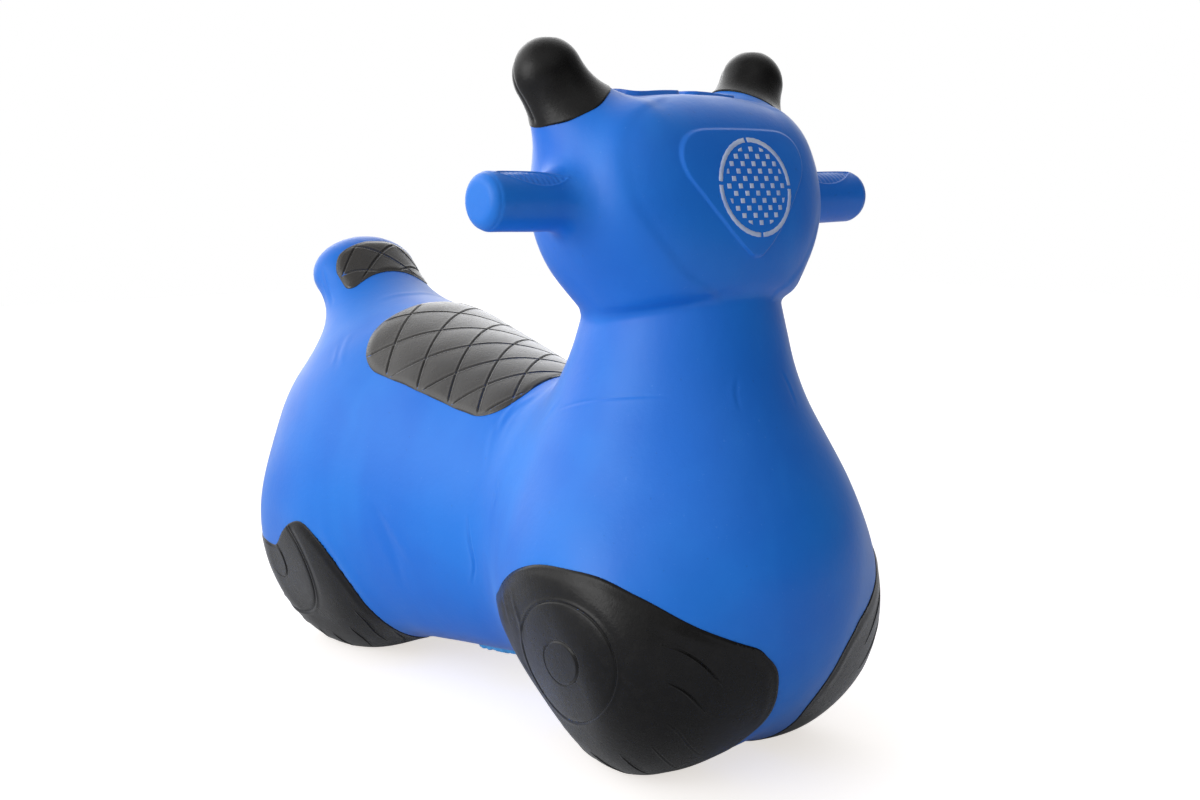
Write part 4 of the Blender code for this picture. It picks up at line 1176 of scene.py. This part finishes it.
def blackFinish(name, shade, specular, sheen, smoothest):
    # black paint: its "tone" attribute is 0 where it is sound and 1 where it has worn through to the blue
    finish, shader, s = newFinish(name, 0.42, specular, sheen)
    worn = s.node("ShaderNodeAttribute", {"attribute_name": "tone"}, output=2)
    spots = s.noise(330.0, 2.0, shift=(0.0, 2.0, 0.0))
    cloud = s.noise(16.0, 4.0, rough=0.6).between(0.35, 0.70)
    fine = s.noise(150.0, 3.0, rough=0.65).between(0.42, 0.75)
    colour = cloud.mixed(rgb(*[paint["cloudShade"] * part for part in shade]), rgb(*shade))
    strength, dust = paint["dust"]
    colour = (fine * strength).mixed(colour, dust)
    colour = (worn + spots * 0.9).between(*paint["bareFrom"]).mixed(colour, paint["bare"])
    feed(shader, colour, "Base Color")
    feed(shader, smoothest + cloud * 0.06 + fine * 0.07, "Roughness")
    grain = s.noise(520.0, 3.0, rough=0.6) + s.noise(90.0, 2.0) * 0.8
    feed(shader, s.node("ShaderNodeBump", None, {**paint["bump"], "Height": grain}), "Normal")
    return finish


def cloudedFinish(name, roughness, cloud, low, high, spread):
    # a plain finish that changes from one colour and roughness to another with a cloud of noise
    finish, shader, s = newFinish(name, roughness)
    scale, detail, rough, start, stop = cloud
    patch = s.noise(scale, detail, rough=rough).between(start, stop)
    colour = patch.mixed(rgb(*low), rgb(*high))
    feed(shader, spread[0] + patch * spread[1], "Roughness")
    return finish, shader, s, colour


def plainFinish(*settings):
    # a clouded finish with nothing over it
    finish, shader, _, colour = cloudedFinish(*settings)
    feed(shader, colour, "Base Color")
    return finish


def discFinish(*settings):
    # the welded disc: its bead, tone 1, is thin and lets more light through than the middle
    finish, shader, s, middle = cloudedFinish(*settings)
    bead = s.node("ShaderNodeAttribute", {"attribute_name": "tone"}, output=2)
    feed(shader, bead.mixed(middle, rgb(0.09, 0.44, 0.90)), "Base Color")
    return finish


blue = blueFinish()
black = blackFinish("black paint", (0.0038, 0.0034, 0.0033), 0.30, 0.14, 0.24)
# the saddle and the tail pad carry the wheels' black paint; this copy's lighter, warm shade is painted
# reflection of the bright backdrop at grazing angles
saddleLitBlack = blackFinish("saddle paint with painted reflection", (0.0230, 0.0185, 0.0145), 0.90, 0.90, 0.21)
# a cloud's scale, detail, roughness and limits, its two colours, and the least roughness and its spread
white = plainFinish("white print", 0.50, (60.0, 4.0, 0.65, 0.30, 0.62),
                    (0.40, 0.52, 0.86), (0.62, 0.71, 0.93), (0.45, 0.12))
pale = plainFinish("pale valve", 0.40, (120.0, 3.0, 0.5, 0.3, 0.7),
                   (0.60, 0.60, 0.57), (0.68, 0.68, 0.65), (0.34, 0.12))
discBlue = discFinish("blue disc", 0.40, (60.0, 3.0, 0.5, 0.3, 0.7),
                      (0.07, 0.17, 0.36), (0.12, 0.26, 0.46), (0.34, 0.10))
print("finishes ready")


# The painted coats: thin closed patches that follow the skin

def treadHeight(side, along):
    # a tread cut that gets deeper along its line, with a lip on one side that gets lower
    depth, start, width = wheelMarks["treadCut"]
    rise, loss, place, spread = wheelMarks["treadLip"]
    back, backPlace, backWidth = wheelMarks["treadBack"]
    blunt = wheelMarks["treadEnd"]
    cut = depth * (start + (1.0 - start) * along) * bell(side, width)
    lip = rise * (1.0 - loss * along) * bell(side - place, spread) + back * bell(side + backPlace, backWidth)
    taper = np.sin(math.pi * np.clip(along * (1.0 - 2 * blunt) + blunt, 0.0, 1.0)) ** wheelMarks["treadTaper"]
    return taper * (lip - cut)


def wheelRelief(coat):
    # ring, boss, rolled upper edge, tread cuts and pleats, and the wear on the ring and the boss
    def relief(p, normals, inside):
        ring = hubReach(p, coat["hub"], coat["ring"])
        boss = hubReach(p, coat["hub"], coat["boss"])
        width, marks = coat["ringWidth"], wheelMarks
        place, spread = marks["ridge"]
        ridge = coat["ringRidge"] * bell(ring - place * width, spread * width)
        height = ridge - coat["ringDepth"] * bell(ring, width)
        height += coat["plateRise"] * smoothStep(-ring, 0.0, marks["plateEdge"])
        rise, edge, groove = marks["boss"]
        height += rise * smoothStep(-boss, 0.0, edge) - rise * bell(boss - groove, groove)
        upper = smoothStep(p[:, 2], *marks["upper"]) * smoothStep(ring, *marks["besideRing"])
        rise, ridge, valley = coat["roll"]
        roll = rise * smoothStep(inside, *marks["rollStart"])
        place, spread = marks["rollRidge"]
        roll += ridge * bell(inside - place, spread)
        place, spread = marks["rollValley"]
        height += upper * (roll - valley * bell(inside - place, spread))
        for strength, line in coat["treads"]:
            height += strength * treadHeight(*besideLine(p, normals, line))
        height += foldHeight(p, normals, coat["pleatLines"])
        onRing, ringWidth, onBoss, bossWidth = marks["worn"]
        worn = onRing * bell(ring, ringWidth) + onBoss * bell(boss - groove, bossWidth)
        length, seed, low, high = marks["wearPatches"]
        return height, worn * smoothStep(ripple(p, length, seed), low, high)
    return relief


def wheelSize(coat):
    # fine along the ring, the boss and each tread cut
    def sizeAt(p):
        size = np.full(len(p), wheelMarks["cell"])
        for radii, near in ((coat["ring"], 0.0016), (coat["boss"], 0.0014)):
            size = finer(size, np.abs(hubReach(p, coat["hub"], radii)), near, 0.0006, 0.40)
        for _, line in coat["treads"]:
            size = finer(size, distanceTo(p, line), 0.0022, 0.00055, 0.45)
        return size
    return sizeAt


def quiltRelief(pad):
    # stitched grooves with soft lips, pillows between them, and the wear in the grooves near the outline
    depth, width = pad["grooveDepth"], pad["grooveWidth"]
    lipShare, lipPlace = quilting["lip"]
    rise, edge = quilting["rise"]
    wear, spread = quilting["worn"]

    def relief(p, normals, inside):
        (left, right), pillow = quiltLines(pad, p)
        groove = np.maximum(bell(left, width), bell(right, width))
        lips = np.maximum(bell(left - lipPlace * width, width), bell(right - lipPlace * width, width))
        height = lipShare * depth * lips - depth * groove + pad["pillow"] * np.sqrt(np.clip(pillow, 0.0, 1.0))
        height = height * smoothStep(inside, *quilting["fade"]) + rise * smoothStep(inside, 0.0, edge)
        worn = wear * np.maximum(bell(left, spread * width), bell(right, spread * width))
        worn = worn * (1.0 - smoothStep(inside, *quilting["wornEdge"]))
        return height, worn * smoothStep(-p[:, 0], *quilting["wornSide"])
    return relief


def quiltSize(pad):
    # fine along the stitched lines, a little less so at the outline
    def sizeAt(p):
        (left, right), _ = quiltLines(pad, p)
        size = finer(quilting["cell"], np.minimum(left, right), 0.0013, 0.0008, 0.6)
        return np.where(pad["zone"](p) > -0.0015, np.maximum(size, 0.0012), size)
    return sizeAt


def mirrorRim(p):
    # how far behind the line of its rim a point of the mirror is
    y, z, slope, behind = mirrorCoat["rimY"]
    return p[:, 1] - y - slope * (p[:, 2] - z) - behind


def mirrorRelief(p, normals, inside):
    # a groove along the rim and a step down behind it
    rim = mirrorRim(p)
    drop, width = mirrorCoat["backStep"]
    height = -mirrorCoat["rimDepth"] * bell(rim, mirrorCoat["rimWidth"]) - drop * smoothStep(rim, 0.0, width)
    return height * smoothStep(inside, *mirrorCoat["fade"]), np.zeros(len(p))


def mirrorSize(p):
    # fine along the rim
    return finer(mirrorCoat["cell"], np.abs(mirrorRim(p)), 0.004, 0.0010, 0.4)


def discRelief(p, normals, inside):
    # an uneven welded bead inside the outline, then the slightly raised middle
    rise, place, width = bellyDisc["bead"]
    share, length, seed = bellyDisc["beadRough"]
    bead = rise * bell(inside - place, width) * (1.0 - share + share * ripple(p, length, seed))
    tonePlace, toneWidth = bellyDisc["beadTone"]
    rise, low, high = bellyDisc["middle"]
    return bead + rise * smoothStep(inside, low, high), bell(inside - tonePlace, toneWidth)


def discSize(p):
    return np.full(len(p), bellyDisc["cell"])


coatEdge = 0.00045  # how far a coat's outline stands above the skin
lowest = 0.0002  # the least height of a coat above the floor


def buildCoat(coat, name, relief, sizeAt, finish):
    # a coat's points brought onto the skin, then out by its relief or in by the depth of its underside
    def cellAt(rows):
        return np.where(rows[:, 4] > 0.5, coat["underCell"], sizeAt(rows[:, :3]))

    rows, faces = splitLong(*rayFan(coat), cellAt)
    p, normals = settled(rows[:, :3])
    inside = insideBy(coat["zone"], p, normals)
    height, tone = relief(p, normals, inside)
    onTop = np.clip(1.0 - 2.0 * rows[:, 4], 0.0, 1.0)
    offset = rows[:, 3] + onTop * (coatEdge + waves(p) + height * smoothStep(inside, 0.0, 0.0020))
    p = p + normals * offset[:, None]
    p[:, 2] = np.maximum(p[:, 2], lowest)
    if not coat["paired"]:
        makePiece(name, p, faces, finish, "toy", tone, (name,))
        return
    for side, label in ((-1, name + "_right"), (1, name + "_left")):
        turned = p * [-side, 1.0, 1.0]
        makePiece(label, turned, faces if side < 0 else faces[:, ::-1], finish, "toy", tone, (label,))


buildCoat(frontCoat, "front_wheel_coat", wheelRelief(frontCoat), wheelSize(frontCoat), black)
buildCoat(rearCoat, "rear_wheel_coat", wheelRelief(rearCoat), wheelSize(rearCoat), black)
buildCoat(mirrorCoat, "mirror_coat", mirrorRelief, mirrorSize, black)
buildCoat(seat, "seat_coat", quiltRelief(seat), quiltSize(seat), saddleLitBlack)
buildCoat(tailPad, "tail_coat", quiltRelief(tailPad), quiltSize(tailPad), saddleLitBlack)
buildCoat(bellyDisc, "belly_disc", discRelief, discSize, discBlue)


# The valve high on the rump, its axis leaning 24 degrees up from straight back

valve = {
    "tilt": 24.0,
    "pit": (0.0064, 0.0076, 0.0206),  # radii of its floor and mouth, depth
    "gap": 0.0003,
    "sleeve": (0.0036, 0.0060, 0.0095, 0.0014, 0.020),  # bore, tube, flange, flange thickness, depth
    "plug": (0.0075, 0.0018, 0.0003, 0.0004, 0.0012, 0.002),  # head, its height, clearance, tapers, tip
    "spokes": 96,
    "cornerSteps": 5,
    "mouth": 0.02,  # how far from the mouth, along the axis, the skin belongs to it
    "thinning": (0.0005, 0.0004),  # of the tube at its inner end, outside and in its bore
    "dome": (0.0012, 0.0001, 0.55),  # how far in and down the head's edge is, and how high its side goes
    "pin": 0.0008,  # radius at which the plug's end faces close
}
tilt = math.radians(valve["tilt"])
valveOut = np.array([0.0, math.cos(tilt), math.sin(tilt)])
valvePoint = ontoSkin(np.array(form["barrel"][0][:3])[None, :] + valveOut * form["barrel"][0][3], 8)[0]
valveUp = np.array([0.0, -math.sin(tilt), math.cos(tilt)])


def turnedPiece(name, profile, finish, body, replaces, closed):
    # profile of (radius, height, corner rounding) turned about the valve's axis
    rounded = []
    for i, (r, h, corner) in enumerate(profile):
        here = np.array([r, h])
        if corner == 0.0:
            rounded.append(here)
            continue
        before = np.array(profile[i - 1][:2]) - here
        after = np.array(profile[(i + 1) % len(profile)][:2]) - here
        before *= corner / np.linalg.norm(before)
        after *= corner / np.linalg.norm(after)
        for t in np.linspace(0, 1, valve["cornerSteps"]):
            rounded.append(here + before * (1 - t) ** 2 + after * t ** 2)
    rounded = np.array(rounded)
    turn = np.arange(valve["spokes"]) * 2 * math.pi / valve["spokes"]
    radius, height = rounded[:, 0][:, None], rounded[:, 1][:, None]
    grid = (radius * np.cos(turn))[..., None] * np.array([1.0, 0.0, 0.0])
    grid = grid + (radius * np.sin(turn))[..., None] * valveUp + height[..., None] * valveOut + valvePoint
    points = grid.reshape(-1, 3)
    rows = np.arange(len(rounded) if closed else len(rounded) - 1)[:, None]
    here = np.arange(valve["spokes"])
    there = np.roll(here, -1)
    below = (rows + 1) % len(rounded)
    first, second = rows * valve["spokes"], below * valve["spokes"]
    quads = np.stack([first + here, first + there, second + there, second + here], -1).reshape(-1, 4)
    faces = np.concatenate([quads[:, [0, 1, 2]], quads[:, [0, 2, 3]]])
    if not closed:
        ends = valvePoint + valveOut * rounded[[0, -1], 1][:, None]
        top, bottom = len(points), len(points) + 1
        points = np.concatenate([points, ends])
        last = (len(rounded) - 1) * valve["spokes"]
        faces = np.concatenate([faces, np.stack([np.full(len(here), top), there, here], 1),
                                np.stack([np.full(len(here), bottom), last + here, last + there], 1)])
    a, b, c = (points[faces[:, i]] - valvePoint for i in range(3))
    if (a * np.cross(b, c)).sum() < 0:  # the volume inside, so the faces look inwards
        faces = faces[:, ::-1]
    return makePiece(name, points, faces, finish, body, None, replaces)


bore, tube, flange, flangeHeight, depth = valve["sleeve"]
gap = valve["gap"]
outer, inner = valve["thinning"]
top = gap + flangeHeight
sleeveProfile = ((bore, top, 0.0002), (flange, top, 0.0005), (flange, gap, 0.0001), (tube, gap, 0.0001),
                 (tube - outer, -depth, 0.0003), (bore - inner, -depth, 0.0002))
turnedPiece("valve_sleeve", sleeveProfile, pale, "toy", ("valve_sleeve",), True)
head, headHeight, clearance, taper, tipTaper, tipLength = valve["plug"]
under = top + gap
stem = bore - clearance
rim, fall, share = valve["dome"]
pin = valve["pin"]
plugProfile = ((pin, under + headHeight, 0.0), (head - rim, under + headHeight - fall, 0.0004),
               (head, under + headHeight * share, 0.0005), (head, under, 0.0004), (stem, under, 0.0002),
               (stem - taper, tipLength - depth, 0.0006), (stem - tipTaper, -depth, 0.0004),
               (pin, -depth, 0.0))
turnedPiece("valve_plug", plugProfile, pale, "plug", ("valve_plug",), False)


# The skin itself, sunk where a coat lies over it and in a pit round the valve

def valveReach(p):
    # distance from the valve's axis, 1 away from its mouth
    d = p - valvePoint
    along = d @ valveOut
    r = np.linalg.norm(d - along[:, None] * valveOut, axis=1)
    return np.where(np.abs(along) < valve["mouth"], r, 1.0)


def bodySize(p):
    # also fine at the pit's wall and along the coats' outlines, and coarse where a coat hides the skin
    low, high, _ = valve["pit"]
    size = finer(skinSize(p), np.abs(valveReach(p) - (low + high) / 2), 0.001, 0.0006, 0.4)
    for coat in coats:
        zone = zoneOf(coat, p)
        size = finer(size, np.abs(zone), 0.004, 0.0036)
        size = np.where(zone < -0.008, skin["hiddenCell"], size)
    return size


points, quads = latticeSkin(skin["cell"])
points, faces = splitLong(ontoSkin(points), halvedQuads(points, quads), bodySize, 5)
points, normals = settled(points)
relief = skinRelief(points, normals) - sunkUnder(points)
low, high, depth = valve["pit"]
pit = depth * (1.0 - smoothStep(valveReach(points), low, high))
points = points + normals * relief[:, None] - valveOut * pit[:, None]
points[:, 2] = np.maximum(points[:, 2], 2 * lowest)
makePiece("body_shell", points, faces, blue, "toy", None, ("body_shell",))


# The stencilled headlight: a ring of four arcs and a chequered lens, printed on the raised plate

headlight = {
    "centre": (0.003, 0.395),
    "ring": (0.0303, 0.0334),
    "tall": 0.965,  # its height over its width
    "gap": 0.0026,
    "gapBearings": (0.0, 95.0, 174.5, 270.0),
    "arcSteps": 40,
    "ragged": (0.00012, 41.0),  # of the ring's edges: height, waves times two pi round the ring
    "rows": (3, 4, 5, 6, 5, 6, 5, 6, 5, 4, 3),
    "rise": 0.0010,  # of the squares over the ring's centre
    "rowPitch": 0.00476,
    "columnPitch": 0.0100,
    "square": (0.0034, 0.0031),
    "clip": 0.0270,
    "steps": 5,
    "above": 0.00022,
    "below": -0.00030,
}


def onFace(x, z):
    # the point of the face straight ahead of (x, z), then where its relief brings it
    ahead, rounds, share = -0.300, 40, 0.9  # y in front of the face, steps, and their share of the distance
    start = np.stack([x, np.full_like(x, ahead), z], -1)
    for _ in range(rounds):
        start[:, 1] += share * bodyField(start)
    p, normals = settled(start)
    return p + normals * skinRelief(p, normals)[:, None], normals


def printPatch(x, z):
    # closed thin slab over a grid of face points
    shape = x.shape
    p, normals = onFace(x.ravel(), z.ravel())
    outer, inner = p + normals * headlight["above"], p + normals * headlight["below"]
    number = np.arange(x.size).reshape(shape)
    quads = np.stack([number[:-1, :-1], number[:-1, 1:], number[1:, 1:], number[1:, :-1]], -1).reshape(-1, 4)
    rim = np.concatenate([number[0, :-1], number[:-1, -1], number[-1, :0:-1], number[:0:-1, 0]])
    around = np.roll(rim, -1)
    wall = np.stack([rim, rim + x.size, around + x.size, around], -1)
    faces = np.concatenate([quads, quads[:, ::-1] + x.size, wall])
    points = np.concatenate([outer, inner])
    return points, facingOut(points, faces, inner[0])


def headlightPrint():
    # the ring's four arcs, then the lens's squares row by row
    centreX, centreZ = headlight["centre"]
    patches = []
    low, high = headlight["ring"]
    half = headlight["gap"] / 2 / high
    bearings = np.radians(headlight["gapBearings"] + (360.0,))
    for quarter in range(4):
        angle = np.linspace(bearings[quarter] + half, bearings[quarter + 1] - half, headlight["arcSteps"])
        radius = np.linspace(low, high, 3)[:, None]
        size, count = headlight["ragged"]
        radius = radius + size * np.sin(angle * count + quarter) * np.array([[-1.0], [0.0], [1.0]])
        x, z = radius * np.cos(angle), headlight["tall"] * radius * np.sin(angle)
        patches.append((centreX + x, centreZ + z))
    wide, high = headlight["square"]
    centreZ += headlight["rise"]
    steps = np.linspace(-0.5, 0.5, headlight["steps"])
    middleRow = (len(headlight["rows"]) - 1) / 2
    for row, count in enumerate(headlight["rows"]):
        for column in range(count):
            x = centreX + (column - (count - 1) / 2) * headlight["columnPitch"]
            z = centreZ + (middleRow - row) * headlight["rowPitch"]
            across, down = np.meshgrid(x + wide * steps, z + high * steps)
            reach = np.hypot(across - centreX, (down - centreZ) / headlight["tall"])
            # cut off by the stencil's circle
            share = np.minimum(1.0, headlight["clip"] / np.maximum(reach, 1e-6))
            patches.append((centreX + (across - centreX) * share, centreZ + (down - centreZ) * share))
    points, faces, start = [], [], 0
    for across, down in patches:
        p, f = printPatch(across, down)
        points.append(p)
        faces.append(f + start)
        start += len(p)
    makePiece("headlight_print", np.concatenate(points), np.concatenate(faces), white)


headlightPrint()


# Camera, backdrop and lamps

camera = {
    "place": (-0.7136, -0.9260, 0.4000),
    "heading": 40.157,  # degrees from +Y towards +X
    "down": 8.362,
    "roll": -0.184,
    "lens": 44.845,
}


def standing(thing, across, upward, back, place):
    # the object linked into the scene at its place, with its own axes turned to the three directions
    columns = np.stack([across, upward, back, np.array(place)], -1)
    thing.matrix_world = Matrix([list(row) for row in columns] + [[0.0, 0.0, 0.0, 1.0]])
    bpy.context.scene.collection.objects.link(thing)
    return thing


heading, down, roll = (math.radians(camera[key]) for key in ("heading", "down", "roll"))
ahead = np.array([math.sin(heading) * math.cos(down), math.cos(heading) * math.cos(down), -math.sin(down)])
right = np.array([math.cos(heading), -math.sin(heading), 0.0])
upward = np.cross(right, ahead)
rightTurned = right * math.cos(roll) + upward * math.sin(roll)
upTurned = upward * math.cos(roll) - right * math.sin(roll)
view = bpy.data.cameras.new("camera")
view.lens = camera["lens"]
view.sensor_fit = "HORIZONTAL"
view.clip_start = 0.02
eye = bpy.data.objects.new("camera", view)
bpy.context.scene.camera = standing(eye, rightTurned, upTurned, -ahead, camera["place"])

light = {
    "everywhere": 0.08,
    "soft": (  # degrees from +Y towards +X, degrees up, strength of each broad soft source
        (0.0, 14.0, 0.90), (33.0, 10.0, 1.70), (45.0, 50.0, 0.90), (315.0, 30.0, 1.40), (270.0, 12.0, 1.20),
        (225.0, 20.0, 0.34), (200.0, 55.0, 0.48)),
    "sharpness": 6.0,
    "lampPlace": (-1.90, 0.10, 0.75),
    "lampAim": (0.0, 0.0, 0.22),
    "lampSize": 1.3,
    "lampPower": 10.0,
}


def worldLight():
    # plain white to the camera; to everything else a dim room with broad soft sources at several bearings,
    # each the cosine from its middle raised to a power
    world = bpy.data.worlds.new("studio")
    bpy.context.scene.world = world
    world.use_nodes = True
    tree = world.node_tree
    s = Signal(tree)
    way = s.node("ShaderNodeTexCoord", output=0)
    level = s.node("ShaderNodeValue")
    level.socket.default_value = light["everywhere"]
    for azimuth, elevation, strength in light["soft"]:
        turn, rise = math.radians(azimuth), math.radians(elevation)
        toward = (math.sin(turn) * math.cos(rise), math.cos(turn) * math.cos(rise), math.sin(rise))
        lean = s.node("ShaderNodeVectorMath", {"operation": "DOT_PRODUCT"},
                      {"Vector": way, "Vector_001": toward}, 1)
        level = level + s.maths("POWER", s.maths("MAXIMUM", lean), light["sharpness"]) * strength
    seen = s.node("ShaderNodeLightPath")
    lit = s.node("ShaderNodeBackground", None, {"Color": rgb(1.0, 1.0, 1.0), "Strength": level})
    plain = s.node("ShaderNodeBackground", None, {"Color": rgb(1.0, 1.0, 1.0), "Strength": 1.0})
    mix = tree.nodes.new("ShaderNodeMixShader")
    tree.links.new(seen.socket, mix.inputs[0])
    tree.links.new(lit.socket, mix.inputs[1])
    tree.links.new(plain.socket, mix.inputs[2])
    tree.links.new(mix.outputs[0], tree.nodes["World Output"].inputs[0])


worldLight()

lamp = bpy.data.lights.new("soft lamp", "AREA")
lamp.energy = light["lampPower"]
lamp.size = light["lampSize"]
lampObject = bpy.data.objects.new("soft lamp", lamp)
away = np.array(light["lampPlace"]) - np.array(light["lampAim"])
away /= np.linalg.norm(away)
side = np.cross([0.0, 0.0, 1.0], away)
side /= np.linalg.norm(side)
standing(lampObject, side, np.cross(away, side), away, light["lampPlace"])


def floorFinish():
    # pale, with its own light towards the camera, so that only contact shadows show
    finish, shader, s = newFinish("white floor", 0.8, 0.0)
    low, high, glow = rgb(0.64, 0.65, 0.68), rgb(0.66, 0.67, 0.70), rgb(0.70, 0.67, 0.64)
    feed(shader, s.noise(3.0, 2.0).mixed(low, high), "Base Color")
    seen = s.node("ShaderNodeLightPath")
    feed(shader, seen.mixed(rgb(0.0, 0.0, 0.0), glow), "Emission Color")
    shader.inputs["Emission Strength"].default_value = 1.0
    return finish


half = 4.0
corners = [(-half, -half, 0.0), (half, -half, 0.0), (half, half, 0.0), (-half, half, 0.0)]
mesh = bpy.data.meshes.new("floor")
mesh.from_pydata(corners, [], [(0, 1, 2, 3)])
mesh.materials.append(floorFinish())
floor = bpy.data.objects.new("floor", mesh)
bpy.context.scene.collection.objects.link(floor)
bpy.context.scene.view_settings.view_transform = "Standard"
print("camera, light and floor ready")
